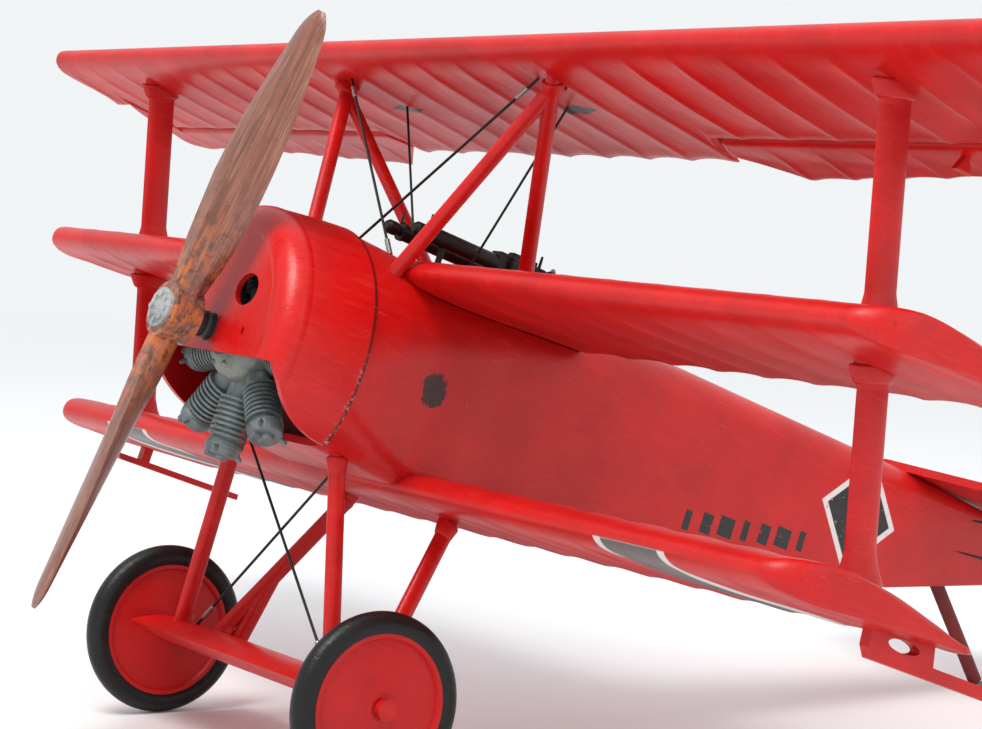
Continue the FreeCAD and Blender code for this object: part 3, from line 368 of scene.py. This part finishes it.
def add_block(bm, centre, size, bevel=0.15):
    """A softened block."""
    made = bmesh.ops.create_cube(bm, size=1.0, matrix=Matrix.Translation(centre)
                                 @ Matrix.Diagonal((*size, 1.0)))
    edges = list({e for v in made["verts"] for e in v.link_edges})
    bmesh.ops.bevel(bm, geom=edges, offset=bevel, segments=2, profile=0.5, material=-1,
                    affect="EDGES")


def ring_of(build, count, start=0.0):
    """The same detail built at even turns round the thrust line."""
    bm = bmesh.new()
    build(bm)
    bmesh.ops.rotate(bm, verts=bm.verts, cent=(0, 0, 0),
                     matrix=Matrix.Rotation(math.radians(start), 3, "Y"))
    seed = bm.verts[:] + bm.edges[:] + bm.faces[:]
    for i in range(1, count):
        copied = bmesh.ops.duplicate(bm, geom=seed)["geom"]
        verts = [item for item in copied if isinstance(item, bmesh.types.BMVert)]
        bmesh.ops.rotate(bm, verts=verts, cent=(0, 0, 0),
                         matrix=Matrix.Rotation(i * math.tau / count, 3, "Y"))
    return bm


def add_cylinder_head(bm):
    """Head, valve housing, plug and intake of one cylinder, which points straight down."""
    add_bar(bm, (0, CYLINDER_AFT, -14.9), (0, CYLINDER_AFT, -15.5), 2.35, 2.85, 32, 0.12)
    add_bar(bm, (0, CYLINDER_AFT, -15.4), (0, CYLINDER_AFT, -17.3), 2.85, 2.45, 32, 0.4)
    add_bar(bm, (0, CYLINDER_AFT, -17.2), (0, CYLINDER_AFT, -18.0), 1.3, 1.0, 24, 0.2)
    add_block(bm, (0, 15.7, -17.5), (1.0, 1.6, 0.8), 0.2)
    add_bar(bm, (0.0, 19.6, -16.4), (0.0, 21.0, -17.2), 0.55, 0.4, 12, 0.1)
    add_bar(bm, (1.7, 15.4, -16.2), (2.3, 14.5, -16.5), 0.4, 0.28, 12, 0.08)


def add_case_bolt(bm):
    add_bar(bm, (0, 13.3, -5.0), (0, 11.9, -4.6), 0.42, 0.36, 6, 0.08)


def make_engine_details(metal, head_metal, dark):
    heads = object_from(ring_of(add_cylinder_head, CYLINDERS), "cylinder_heads")
    finish_piece(heads, head_metal, "rotary_engine")
    bolts = object_from(ring_of(add_case_bolt, CYLINDERS, 20.0), "crankcase_bolts")
    finish_piece(bolts, metal, "rotary_engine")
    bm = bmesh.new()
    for y in (6.0, 7.4, 8.8):
        ring = bmesh.ops.create_circle(bm, segments=40, radius=1.85,
                                       matrix=Matrix.Translation((0, y, 0))
                                       @ Matrix.Rotation(math.radians(90), 4, "X"))
        shelf = [e for e in bm.edges if all(v in ring["verts"] for v in e.verts)]
        grown = bmesh.ops.extrude_edge_only(bm, edges=shelf)["geom"]
        verts = [g for g in grown if isinstance(g, bmesh.types.BMVert)]
        bmesh.ops.translate(bm, verts=verts, vec=(0, 0.5, 0))
        bmesh.ops.scale(bm, verts=verts, vec=(1.08, 1.0, 1.08))
    bmesh.ops.solidify(bm, geom=bm.faces[:], thickness=0.16)
    bmesh.ops.recalc_face_normals(bm, faces=bm.faces)
    finish_piece(object_from(bm, "bush_ribs"), dark, "rotary_engine")


def make_strut_sockets(material):
    """Paint-filled fillets where each strut meets a wing."""
    bm = bmesh.new()
    ends = []
    for side in (1, -1):
        for up, wing in ((48.9, 1), (20.0, -1), (15.2, 1), (-10.9, -1)):
            aft = STRUT_AFT + (STRUT_UP - up) * STRUT_RAKE
            ends.append((Vector((side * STRUT_SIDE, aft, up)),
                         Vector((0, -STRUT_RAKE, 1)) * wing, 1.35, 4.1))
        ends.append((Vector((side * 28.9, 34.4, 48.4)), Vector((side * 0.44, 0.18, 0.9)), 1.3, 1.9))
        ends.append((Vector((side * 29.2, 33.6, 48.2)), Vector((side * 0.5, -0.55, 0.8)), 1.3, 1.9))
        ends.append((Vector((side * 15.1, 27.6, -12.9)), Vector((-side * 0.25, -0.2, 1)), 1.2, 1.8))
        ends.append((Vector((side * 14.9, 49.9, -16.4)), Vector((-side * 0.25, 0.35, 1)), 1.3, 1.9))
        ends.append((Vector((side * 23.0, 33.6, -43.2)), Vector((side * 0.25, 0.2, -1)), 1.3, 1.9))
        ends.append((Vector((side * 22.3, 40.6, -42.9)), Vector((side * 0.25, -0.35, -1)), 1.3, 1.9))
    for place, out, thick, chord in ends:
        out = out.normalized()
        stand = along(place - out * 2.2, place + out)
        made = bmesh.ops.create_cone(bm, cap_ends=True, segments=32, radius1=0.78, radius2=1.06,
                                     depth=2.6, matrix=stand @ Matrix.Translation((0, 0, 1.3))
                                     @ Matrix.Diagonal((thick, chord, 1.0, 1.0)))
        rim = [e for e in {e for v in made["verts"] for e in v.link_edges}
               if any(len(face.verts) > 4 for face in e.link_faces)]
        bmesh.ops.bevel(bm, geom=rim, offset=0.45, segments=4, profile=0.5, material=-1,
                        affect="EDGES")
    finish_piece(object_from(bm, "strut_fillets", smooth=True), material, "airframe")


def make_gun_details(dark, bare):
    """Muzzle rings, sights, cocking handles and feed blocks of the two guns."""
    bm, shiny = bmesh.new(), bmesh.new()
    for side in (1, -1):
        x = side * GUN_SIDE
        for y in (38.0, 40.2, 42.4, 44.6, 46.8, 49.0):
            add_bar(bm, (x, y, GUN_UP), (x, y + 0.7, GUN_UP), 1.5, 1.5, 24, 0.12)
        add_block(bm, (x + side * 1.7, 54.0, 25.6), (1.2, 3.4, 2.4), 0.2)
        add_block(bm, (x, 55.4, 27.4), (1.6, 5.0, 0.9), 0.2)
        add_bar(bm, (x + side * 1.2, 58.6, 26.0), (x + side * 2.9, 59.4, 27.0), 0.3, 0.25, 12, 0.08)
        add_bar(bm, (x, 58.8, 27.0), (x, 58.8, 29.2), 0.28, 0.2, 12, 0.06)
        add_bar(bm, (x, 37.0, 26.5), (x, 37.0, 28.2), 0.22, 0.18, 12, 0.05)
        add_block(bm, (x, 61.2, 24.6), (1.7, 0.8, 1.5), 0.15)
        add_bar(shiny, (x, 33.9, GUN_UP), (x, 35.9, GUN_UP), 1.18, 0.9, 24, 0.12)
        add_bar(shiny, (x + side * 2.9, 59.4, 27.0), (x + side * 3.3, 59.6, 27.3), 0.42, 0.4, 12, 0.1)
    finish_piece(object_from(bm, "gun_fittings"), dark, "airframe")
    finish_piece(object_from(shiny, "gun_bare_metal"), bare, "airframe")


def make_wire_ends(metal):
    """Turnbuckles and eyes at the ends of the crossed wires."""
    bm = bmesh.new()
    for side in (1, -1):
        top = Vector((side * 26.5, 33.0 + side * 0.3, 49.6))
        low = Vector((-side * 12.2, 30.0 + side * 0.3, 14.6))
        way = (top - low).normalized()
        add_bar(bm, low + way * 7.0, low + way * 10.5, 0.42, 0.42, 12, 0.1)
        add_bar(bm, top - way * 6.0, top - way * 3.4, 0.4, 0.4, 12, 0.1)
        top = Vector((side * 14.2, 29.2 + side * 0.3, -12.5))
        low = Vector((-side * 21.8, 34.6 + side * 0.3, -43.6))
        way = (top - low).normalized()
        add_bar(bm, low + way * 4.0, low + way * 7.4, 0.42, 0.42, 12, 0.1)
    finish_piece(object_from(bm, "turnbuckles"), metal, "airframe")


def make_cabin_details(leather, metal):
    """Padding on the pilot's seat, and bezels for the dials on the instrument panel."""
    bm = bmesh.new()
    for x, z, radius in ((-4.2, 10.5, 1.7), (0.0, 11.2, 2.0), (4.2, 10.5, 1.7), (-2.6, 6.6, 1.3),
                         (2.6, 6.6, 1.3)):
        add_bar(bm, (x, 64.0, z), (x, 64.6, z), radius, radius * 0.94, 32, 0.12)
    finish_piece(object_from(bm, "dial_bezels"), metal, "airframe")
    bm = bmesh.new()
    for x in (-3.4, 0.0, 3.4):
        add_block(bm, (x, 81.6, 3.2), (3.1, 1.3, 7.4), 0.55)
    add_block(bm, (0, 77.5, -1.0), (9.6, 6.6, 1.2), 0.5)
    finish_piece(object_from(bm, "seat_padding", smooth=True), leather, "airframe")


def make_wheel_details(material):
    """A low boss on a shallow ring at the middle of each wheel's outer face."""
    for side, hand in ((1, "left"), (-1, "right")):
        bm = bmesh.new()
        x = side * WHEEL_FACE
        add_bar(bm, (x, AXLE_AFT, AXLE_UP), (x + side * 0.5, AXLE_AFT, AXLE_UP), 2.6, 2.1, 48, 0.2)
        finish_piece(object_from(bm, "wheel_boss_" + hand), material, "wheel_" + hand)


# ---- shader building ----

class Graph:
    """Short ways to add nodes to one tree and join them."""

    def __init__(self, tree):
        self.nodes, self.links = tree.nodes, tree.links

    def add(self, kind, inputs=(), **settings):
        node = self.nodes.new("ShaderNode" + kind)
        for name, value in settings.items():
            setattr(node, name, value)
        for name, value in dict(inputs).items():
            self.feed(node.inputs[name], value)
        return node

    def feed(self, socket, value):
        if isinstance(value, bpy.types.NodeSocket):
            self.links.new(value, socket)
        else:
            socket.default_value = value

    def math(self, operation, *values):
        node = self.add("Math", operation=operation)
        for socket, value in zip(node.inputs, values):
            self.feed(socket, value)
        return node.outputs[0]

    def ramp(self, value, low, high, start=0.0, end=1.0):
        node = self.add("MapRange", {"Value": value, "From Min": low, "From Max": high,
                                     "To Min": start, "To Max": end})
        return node.outputs[0]

    def mix(self, amount, first, second, blend="MIX"):
        node = self.add("Mix", data_type="RGBA", blend_type=blend)
        for index, value in ((0, amount), (6, first), (7, second)):
            self.feed(node.inputs[index], value)
        return node.outputs[2]

    def scaled(self, place, scale, rotation=(0, 0, 0)):
        return self.add("Mapping", {"Vector": place, "Scale": scale, "Rotation": rotation}).outputs[0]

    def noise(self, place, scale, detail=3.0, roughness=0.55):
        return self.add("TexNoise", {"Vector": place, "Scale": scale, "Detail": detail,
                                     "Roughness": roughness}).outputs["Fac"]


def new_group(name, takes, gives):
    tree = bpy.data.node_groups.new(name, "ShaderNodeTree")
    for label, kind in takes:
        tree.interface.new_socket(label, in_out="INPUT", socket_type="NodeSocket" + kind)
    for label, kind in gives:
        tree.interface.new_socket(label, in_out="OUTPUT", socket_type="NodeSocket" + kind)
    return tree, tree.nodes.new("NodeGroupInput"), tree.nodes.new("NodeGroupOutput")


def make_place_group():
    """Object coordinates turned into aeroplane axes in millimetres."""
    tree, takes, gives = new_group("aeroplane_place", (), (("Place", "Vector"),))
    graph = Graph(tree)
    own = graph.add("TexCoord").outputs["Object"]
    turn = graph.add("Mapping", {"Vector": own, "Location": UNSTAND.translation,
                                 "Rotation": (GROUND_ANGLE, 0, 0), "Scale": (1000, 1000, 1000)})
    graph.feed(gives.inputs["Place"], turn.outputs[0])
    return tree


def make_brush_group():
    """Marks of a hand brush and of handling: streaks, patches, scratches, chips and their relief."""
    tree, takes, gives = new_group(
        "brush_marks", (("Place", "Vector"), ("Relief", "Float")),
        (("Streak", "Float"), ("Patch", "Float"), ("Scratch", "Float"), ("Chip", "Float"),
         ("Normal", "Vector")))
    graph = Graph(tree)
    place = takes.outputs["Place"]
    fine = graph.noise(graph.scaled(place, (2.2, 0.11, 2.2)), 1.0, 4.0)
    broad = graph.noise(graph.scaled(place, (0.55, 0.05, 0.55)), 1.0, 3.0)
    streak = graph.math("ADD", graph.math("MULTIPLY", fine, 0.6), graph.math("MULTIPLY", broad, 0.4))
    patch = graph.ramp(graph.noise(place, 0.075, 4.0, 0.6), 0.36, 0.66)
    grain = graph.noise(place, 3.4, 2.0)
    lines = []
    for turn in ((0.5, 0.2, 0.35), (-0.35, 0.6, -0.9)):
        thin = graph.noise(graph.scaled(place, (4.5, 0.06, 4.5), turn), 1.0, 1.0)
        gate = graph.ramp(graph.noise(place, 0.16, 2.0), 0.56, 0.64)
        lines.append(graph.math("MULTIPLY", graph.ramp(thin, 0.70, 0.74), gate))
    scratch = graph.math("MAXIMUM", *lines)
    speck = graph.ramp(graph.noise(place, 1.1, 3.0, 0.7), 0.70, 0.735)
    chip = graph.math("MULTIPLY", speck, graph.ramp(graph.noise(place, 0.09, 2.0), 0.44, 0.58))
    height = graph.math("ADD", graph.math("MULTIPLY", streak, 0.75),
                        graph.math("MULTIPLY", grain, 0.12))
    height = graph.math("SUBTRACT", height, graph.math("MULTIPLY", chip, 0.35))
    height = graph.math("SUBTRACT", height, graph.math("MULTIPLY", scratch, 0.25))
    bump = graph.add("Bump", {"Strength": takes.outputs["Relief"], "Distance": 0.00022,
                              "Height": height})
    for name, value in (("Streak", streak), ("Patch", patch), ("Scratch", scratch), ("Chip", chip),
                        ("Normal", bump.outputs[0])):
        graph.feed(gives.inputs[name], value)
    return tree


def make_box_group():
    """1 inside a rectangle of the side view, 0 outside, with a soft hand-cut edge."""
    tree, takes, gives = new_group(
        "side_panel", (("Place", "Vector"), ("Aft", "Float"), ("Up", "Float"), ("Half Aft", "Float"),
                       ("Half Up", "Float")), (("Mask", "Float"),))
    graph = Graph(tree)
    split = graph.add("SeparateXYZ", {"Vector": takes.outputs["Place"]})
    inside = []
    for axis, centre, half in (("Y", "Aft", "Half Aft"), ("Z", "Up", "Half Up")):
        off = graph.math("ABSOLUTE", graph.math("SUBTRACT", split.outputs[axis], takes.outputs[centre]))
        past = graph.math("SUBTRACT", off, takes.outputs[half])
        inside.append(graph.ramp(past, 0.08, -0.08))
    graph.feed(gives.inputs["Mask"], graph.math("MULTIPLY", *inside))
    return tree


def use_group(graph, tree, inputs=()):
    node = graph.add("Group")
    node.node_tree = tree
    for name, value in dict(inputs).items():
        graph.feed(node.inputs[name], value)
    return node


def new_material(name):
    material = bpy.data.materials.new(name)
    material.use_nodes = True
    return material, Graph(material.node_tree), material.node_tree.nodes["Principled BSDF"]


def rgb(red, green, blue):
    return (red, green, blue, 1.0)


def floor_paper():
    material, graph, shader = new_material("floor_paper")
    shader.inputs["Base Color"].default_value = rgb(0.86, 0.87, 0.88)
    shader.inputs["Roughness"].default_value = 0.6
    place = graph.add("TexCoord").outputs["Object"]
    reach = graph.add("VectorMath", operation="LENGTH")
    graph.links.new(place, reach.inputs[0])
    graph.feed(shader.inputs["Alpha"], graph.ramp(reach.outputs["Value"], 0.45, 1.3, 1.0, 0.0))
    return material


def coated(name, colour, deep, pale, chip, roughness, relief=0.5, coat=0.0, metallic=0.0,
           tone=0.5, overlay=None):
    """A hand-painted finish: streaked and patchy colour, scratches, chips and uneven gloss."""
    material, graph, shader = new_material(name)
    place = use_group(graph, PLACE).outputs["Place"]
    marks = use_group(graph, BRUSH, {"Place": place, "Relief": relief})
    tint = graph.mix(graph.math("MULTIPLY", marks.outputs["Patch"], tone), colour, deep)
    light = graph.math("MULTIPLY", graph.ramp(marks.outputs["Streak"], 0.52, 0.72), 0.45 * tone)
    tint = graph.mix(light, tint, pale)
    dark = graph.math("MULTIPLY", graph.ramp(marks.outputs["Streak"], 0.46, 0.30), 0.7 * tone)
    tint = graph.mix(dark, tint, deep)
    if overlay:
        tint = overlay(graph, place, tint)
    tint = graph.mix(graph.math("MULTIPLY", marks.outputs["Scratch"], 0.55), tint, pale)
    tint = graph.mix(graph.math("MULTIPLY", marks.outputs["Chip"], 0.85), tint, chip)
    graph.feed(shader.inputs["Base Color"], tint)
    gloss = graph.ramp(marks.outputs["Streak"], 0.3, 0.7, roughness - 0.08, roughness + 0.1)
    gloss = graph.math("ADD", gloss, graph.math("MULTIPLY", marks.outputs["Patch"], 0.06))
    graph.feed(shader.inputs["Roughness"], gloss)
    graph.feed(shader.inputs["Normal"], marks.outputs["Normal"])
    shader.inputs["Metallic"].default_value = metallic
    shader.inputs["Specular IOR Level"].default_value = 0.3
    shader.inputs["Coat Weight"].default_value = coat
    shader.inputs["Coat Roughness"].default_value = 0.22
    return material


def panel(graph, place, aft, up, half_aft, half_up):
    return use_group(graph, PANEL, {"Place": place, "Aft": aft, "Up": up, "Half Aft": half_aft,
                                    "Half Up": half_up}).outputs["Mask"]


def fuselage_marks(graph, place, tint):
    """Plain bars, an edged diamond, a dark filler patch and a pale worn deck edge."""
    white, black = rgb(0.72, 0.68, 0.66), rgb(0.02, 0.018, 0.02)
    worn = graph.noise(place, 0.9, 3.0)
    hold = graph.ramp(worn, 0.30, 0.36)
    moved = graph.add("VectorMath", {0: place, 1: (0, -136.8, -10.15)}, operation="ADD").outputs[0]
    turned = graph.scaled(moved, (1, 1, 1), (math.radians(45), 0, 0))
    edge = panel(graph, turned, 0.0, 0.0, 7.2, 7.2)
    inner = panel(graph, turned, 0.0, 0.0, 6.1, 6.1)
    tint = graph.mix(graph.math("MULTIPLY", edge, hold), tint, white)
    tint = graph.mix(graph.math("MULTIPLY", inner, hold), tint, black)
    for i in range(7):
        bar = panel(graph, place, 97.0 + 4.6 * i, -2.0 + 0.66 * i, 0.8 + 0.5 * (i % 3), 1.7)
        tint = graph.mix(graph.math("MULTIPLY", bar, hold), tint, black)
    spot = graph.add("VectorMath", {0: place, 1: (17.2, 38.4, 1.5)}, operation="DISTANCE")
    spot = graph.math("ADD", spot.outputs["Value"], graph.math("MULTIPLY", worn, 3.4))
    tint = graph.mix(graph.ramp(spot, 4.4, 4.0, 0.0, 0.95), tint, rgb(0.018, 0.012, 0.012))
    split = graph.add("SeparateXYZ", {"Vector": place})
    deck = graph.ramp(split.outputs["Z"], 20.2, 20.9)
    rear = graph.ramp(split.outputs["Y"], 64.0, 72.0)
    handled = graph.noise(graph.scaled(place, (1.3, 0.07, 1.3)), 1.0, 3.0)
    rub = graph.math("MULTIPLY", graph.math("MULTIPLY", deck, rear),
                     graph.ramp(handled, 0.54, 0.68, 0.0, 0.35))
    return graph.mix(rub, tint, rgb(0.62, 0.32, 0.29))


def upper_wing_marks(graph, place, tint):
    """Painted shade of the diamond slots in the underside where the aileron cables go in: the openings are not
    modelled, so the shade inside them is painted dark.
    """
    split = graph.add("SeparateXYZ", {"Vector": place})
    x_off = graph.math("ABSOLUTE", split.outputs["X"])
    x_off = graph.math("ABSOLUTE", graph.math("SUBTRACT", x_off, 23.5))
    y_off = graph.math("ABSOLUTE", graph.math("SUBTRACT", split.outputs["Y"], 43.2))
    reach = graph.math("ADD", graph.math("DIVIDE", x_off, 5.0), graph.math("DIVIDE", y_off, 1.7))
    under = graph.ramp(split.outputs["Z"], 49.4, 49.2)
    # painted shade: dark red-black where the slot openings would be
    slot = graph.math("MULTIPLY", graph.ramp(reach, 1.05, 0.92), under)
    return graph.mix(slot, tint, rgb(0.03, 0.01, 0.01))


def lower_wing_marks(graph, place, tint):
    """A grey band with white edges across the underside near each tip."""
    split = graph.add("SeparateXYZ", {"Vector": place})
    off = graph.math("ABSOLUTE", split.outputs["X"])
    off = graph.math("ABSOLUTE", graph.math("SUBTRACT", off, 72.0))
    under = graph.ramp(split.outputs["Z"], -13.9, -14.1)
    white = graph.math("MULTIPLY", graph.ramp(off, 7.6, 7.4), under)
    grey = graph.math("MULTIPLY", graph.ramp(off, 6.1, 5.9), under)
    tint = graph.mix(white, tint, rgb(0.66, 0.63, 0.60))
    return graph.mix(grey, tint, rgb(0.13, 0.12, 0.12))


def cowling_marks(graph, place, tint):
    """Dark red inside and a pale handled rim at the rear seam."""
    split = graph.add("SeparateXYZ", {"Vector": place})
    out = graph.math("SQRT", graph.math("ADD", graph.math("POWER", split.outputs["X"], 2.0),
                                        graph.math("POWER", split.outputs["Z"], 2.0)))
    past = graph.ramp(split.outputs["Y"], 9.4, 10.2)
    outside = graph.ramp(split.outputs["Y"], 10.0, 23.5, 18.0, 20.5)
    skin = graph.ramp(graph.math("SUBTRACT", out, outside), 0.1, -0.1)
    tint = graph.mix(graph.math("MULTIPLY", past, skin), tint, rgb(0.07, 0.008, 0.009))
    seam = graph.ramp(split.outputs["Y"], 22.9, 23.3)
    tint = graph.mix(seam, tint, rgb(0.09, 0.006, 0.006))
    flecks = graph.ramp(graph.noise(place, 1.6, 3.0), 0.52, 0.6, 0.0, 0.7)
    low = graph.ramp(split.outputs["Z"], 4.0, -3.0)
    near = graph.ramp(split.outputs["Y"], 22.5, 23.1)
    flecks = graph.math("MULTIPLY", graph.math("MULTIPLY", flecks, low), near)
    return graph.mix(flecks, tint, rgb(0.35, 0.30, 0.29))


def wood(name):
    """Carved laminated wood: long grain bands, brown smears and an orange hub."""
    material, graph, shader = new_material(name)
    place = use_group(graph, PLACE).outputs["Place"]
    lean = graph.add("Mapping", {"Vector": place, "Rotation": (0, math.radians(-15), 0)}).outputs[0]
    marks = use_group(graph, BRUSH, {"Place": place, "Relief": 0.35})
    wave = graph.noise(graph.scaled(lean, (0.9, 1.3, 0.045)), 1.0, 5.0, 0.6)
    fine = graph.noise(graph.scaled(lean, (3.6, 3.6, 0.09)), 1.0, 3.0)
    grey = graph.mix(graph.ramp(wave, 0.38, 0.6), rgb(0.24, 0.075, 0.045), rgb(0.14, 0.042, 0.02))
    tint = graph.mix(graph.ramp(fine, 0.5, 0.68, 0.0, 0.6), grey, rgb(0.34, 0.165, 0.115))
    tint = graph.mix(graph.ramp(wave, 0.60, 0.68, 0.0, 0.7), tint, rgb(0.07, 0.025, 0.02))
    near = graph.add("VectorMath", {0: place}, operation="LENGTH").outputs["Value"]
    near = graph.math("ADD", near, graph.math("MULTIPLY", wave, 16.0))
    blotch = graph.ramp(graph.noise(place, 0.42, 4.0, 0.65), 0.44, 0.56)
    stain = graph.math("MULTIPLY", graph.ramp(near, 26.0, 12.0, 0.0, 0.9), blotch)
    tint = graph.mix(stain, tint, rgb(0.52, 0.115, 0.012))
    smear = graph.math("MULTIPLY", graph.ramp(graph.noise(place, 0.6, 4.0, 0.7), 0.53, 0.60),
                       graph.ramp(near, 30.0, 12.0, 0.15, 0.85))
    tint = graph.mix(smear, tint, rgb(0.045, 0.018, 0.012))
    tint = graph.mix(graph.math("MULTIPLY", marks.outputs["Chip"], 0.8), tint, rgb(0.5, 0.36, 0.26))
    graph.feed(shader.inputs["Base Color"], tint)
    graph.feed(shader.inputs["Roughness"], graph.ramp(fine, 0.3, 0.7, 0.3, 0.46))
    bump = graph.add("Bump", {"Strength": 0.35, "Distance": 0.0003, "Height": fine,
                              "Normal": marks.outputs["Normal"]})
    graph.feed(shader.inputs["Normal"], bump.outputs[0])
    shader.inputs["Coat Weight"].default_value = 0.35
    shader.inputs["Coat Roughness"].default_value = 0.2
    return material


# ---- build ----

PLACE, BRUSH, PANEL = make_place_group(), make_brush_group(), make_box_group()
RED, DEEP_RED = rgb(0.56, 0.006, 0.005), rgb(0.33, 0.003, 0.004)
PALE_RED = rgb(0.72, 0.06, 0.045)
DARK_CHIP = rgb(0.03, 0.015, 0.014)

add_camera()
add_studio()


def red(name, overlay=None, roughness=0.36):
    return coated(name, RED, DEEP_RED, PALE_RED, DARK_CHIP, roughness, 0.5, 0.08, overlay=overlay)


red_paint = red("red_enamel")
wing_red = red("wing_red_enamel", roughness=0.4)
LOOKS = {
    "red_paint": red_paint,
    "cabin_lining": coated("cabin_red", rgb(0.20, 0.02, 0.015), rgb(0.07, 0.008, 0.008),
                           rgb(0.30, 0.06, 0.05), DARK_CHIP, 0.6),
    "panel_black": coated("panel_black", rgb(0.025, 0.025, 0.026), rgb(0.01, 0.01, 0.01),
                          rgb(0.10, 0.10, 0.10), rgb(0.2, 0.19, 0.18), 0.55),
    "seat_brown": coated("seat_leather", rgb(0.14, 0.06, 0.025), rgb(0.05, 0.02, 0.01),
                         rgb(0.28, 0.14, 0.07), rgb(0.03, 0.02, 0.015), 0.5, 0.9),
    "coaming_leather": coated("coaming_leather", rgb(0.12, 0.03, 0.02), rgb(0.04, 0.012, 0.01),
                              rgb(0.24, 0.08, 0.05), rgb(0.02, 0.01, 0.01), 0.45, 0.9),
    "column_metal": coated("column_metal", rgb(0.10, 0.10, 0.11), rgb(0.03, 0.03, 0.035),
                           rgb(0.28, 0.28, 0.29), rgb(0.4, 0.4, 0.4), 0.4, metallic=0.5),
    "engine_metal": coated("cylinder_metal", rgb(0.22, 0.26, 0.26), rgb(0.05, 0.06, 0.062),
                           rgb(0.42, 0.46, 0.45), rgb(0.02, 0.018, 0.016), 0.45, 0.6, metallic=0.3,
                           tone=0.9),
    "case_metal": coated("case_metal", rgb(0.26, 0.275, 0.245), rgb(0.07, 0.075, 0.065),
                         rgb(0.46, 0.47, 0.43), rgb(0.03, 0.03, 0.025), 0.4, metallic=0.4, tone=0.8),
    "pushrod_metal": coated("pushrod_metal", rgb(0.14, 0.13, 0.12), rgb(0.04, 0.035, 0.03),
                            rgb(0.34, 0.33, 0.30), DARK_CHIP, 0.42, metallic=0.6),
    "bright_steel": coated("bright_steel", rgb(0.42, 0.41, 0.40), rgb(0.14, 0.12, 0.11),
                           rgb(0.70, 0.69, 0.67), rgb(0.08, 0.05, 0.04), 0.32, metallic=0.9),
    "black_rubber": coated("satin_black", rgb(0.018, 0.018, 0.018), rgb(0.008, 0.008, 0.008),
                           rgb(0.09, 0.09, 0.088), rgb(0.2, 0.19, 0.18), 0.42, coat=0.2),
    "tyre_black": coated("tyre_vinyl", rgb(0.007, 0.007, 0.007), rgb(0.003, 0.003, 0.003),
                         rgb(0.03, 0.028, 0.026), rgb(0.12, 0.035, 0.03), 0.36, 0.8),
    "wood_paint": wood("propeller_wood"),
    "plate_silver": coated("hub_silver", rgb(0.56, 0.57, 0.56), rgb(0.20, 0.20, 0.19),
                           rgb(0.86, 0.86, 0.86), rgb(0.10, 0.08, 0.07), 0.3, 1.0, metallic=0.5,
                           tone=0.9),
    "gun_black": coated("gun_metal", rgb(0.022, 0.017, 0.016), rgb(0.008, 0.007, 0.007),
                        rgb(0.14, 0.12, 0.11), rgb(0.34, 0.31, 0.29), 0.38, metallic=0.5),
    "wire_black": coated("blackened_wire", rgb(0.02, 0.02, 0.021), rgb(0.008, 0.008, 0.008),
                         rgb(0.10, 0.10, 0.10), rgb(0.34, 0.33, 0.31), 0.4, metallic=0.4),
    "skid_paint": coated("skid_stain", rgb(0.17, 0.012, 0.012), rgb(0.06, 0.006, 0.006),
                         rgb(0.32, 0.06, 0.05), DARK_CHIP, 0.45),
    "shoe_metal": coated("shoe_metal", rgb(0.07, 0.06, 0.06), rgb(0.025, 0.02, 0.02),
                         rgb(0.24, 0.22, 0.21), rgb(0.4, 0.38, 0.36), 0.42, metallic=0.5),
}
OWN_LOOKS = {
    "fuselage_left_half": red("fuselage_red_enamel", fuselage_marks),
    "cowling": red("cowling_red_enamel", cowling_marks, 0.3),
    "wheel_disc_left": coated("wheel_red", rgb(0.50, 0.006, 0.006), rgb(0.30, 0.003, 0.004),
                              rgb(0.46, 0.03, 0.03), DARK_CHIP, 0.4, 0.6, 0.05),
}
OWN_LOOKS["fuselage_right_half"] = OWN_LOOKS["fuselage_left_half"]
OWN_LOOKS["wheel_disc_right"] = OWN_LOOKS["wheel_disc_left"]
for entry in frame["record"]["subparts"]:
    node = frame["nodes"][entry["node"]]
    node.data.materials.clear()
    node.data.materials.append(OWN_LOOKS.get(entry["node"], LOOKS[entry["material_slot"]]))

upper_place, middle_place = wing_place(25.4, 51.4, 7.6), wing_place(29.5, 16.9, 1.2)
make_wing("upper_wing", 127.8, 3.3, 3.0, upper_place,
          red("upper_wing_red_enamel", upper_wing_marks, 0.4), bay_cut=True)
make_wing("middle_wing", 114.6, 7.0, 8.0, middle_place, wing_red)
make_wing("lower_wing", 103.6, 7.0, 8.0, wing_place(37.9, -13.4, 1.5),
          red("lower_wing_red_enamel", lower_wing_marks, 0.4))
for side, hand in ((1, "left"), (-1, "right")):
    make_aileron(side, hand, upper_place, wing_red)
    make_horn(side, hand, upper_place, red_paint)
make_engine_details(LOOKS["case_metal"], LOOKS["engine_metal"], LOOKS["black_rubber"])
make_strut_sockets(red_paint)
make_gun_details(LOOKS["gun_black"], LOOKS["bright_steel"])
make_wire_ends(LOOKS["bright_steel"])
make_cabin_details(LOOKS["seat_brown"], LOOKS["column_metal"])
make_wheel_details(OWN_LOOKS["wheel_disc_left"])
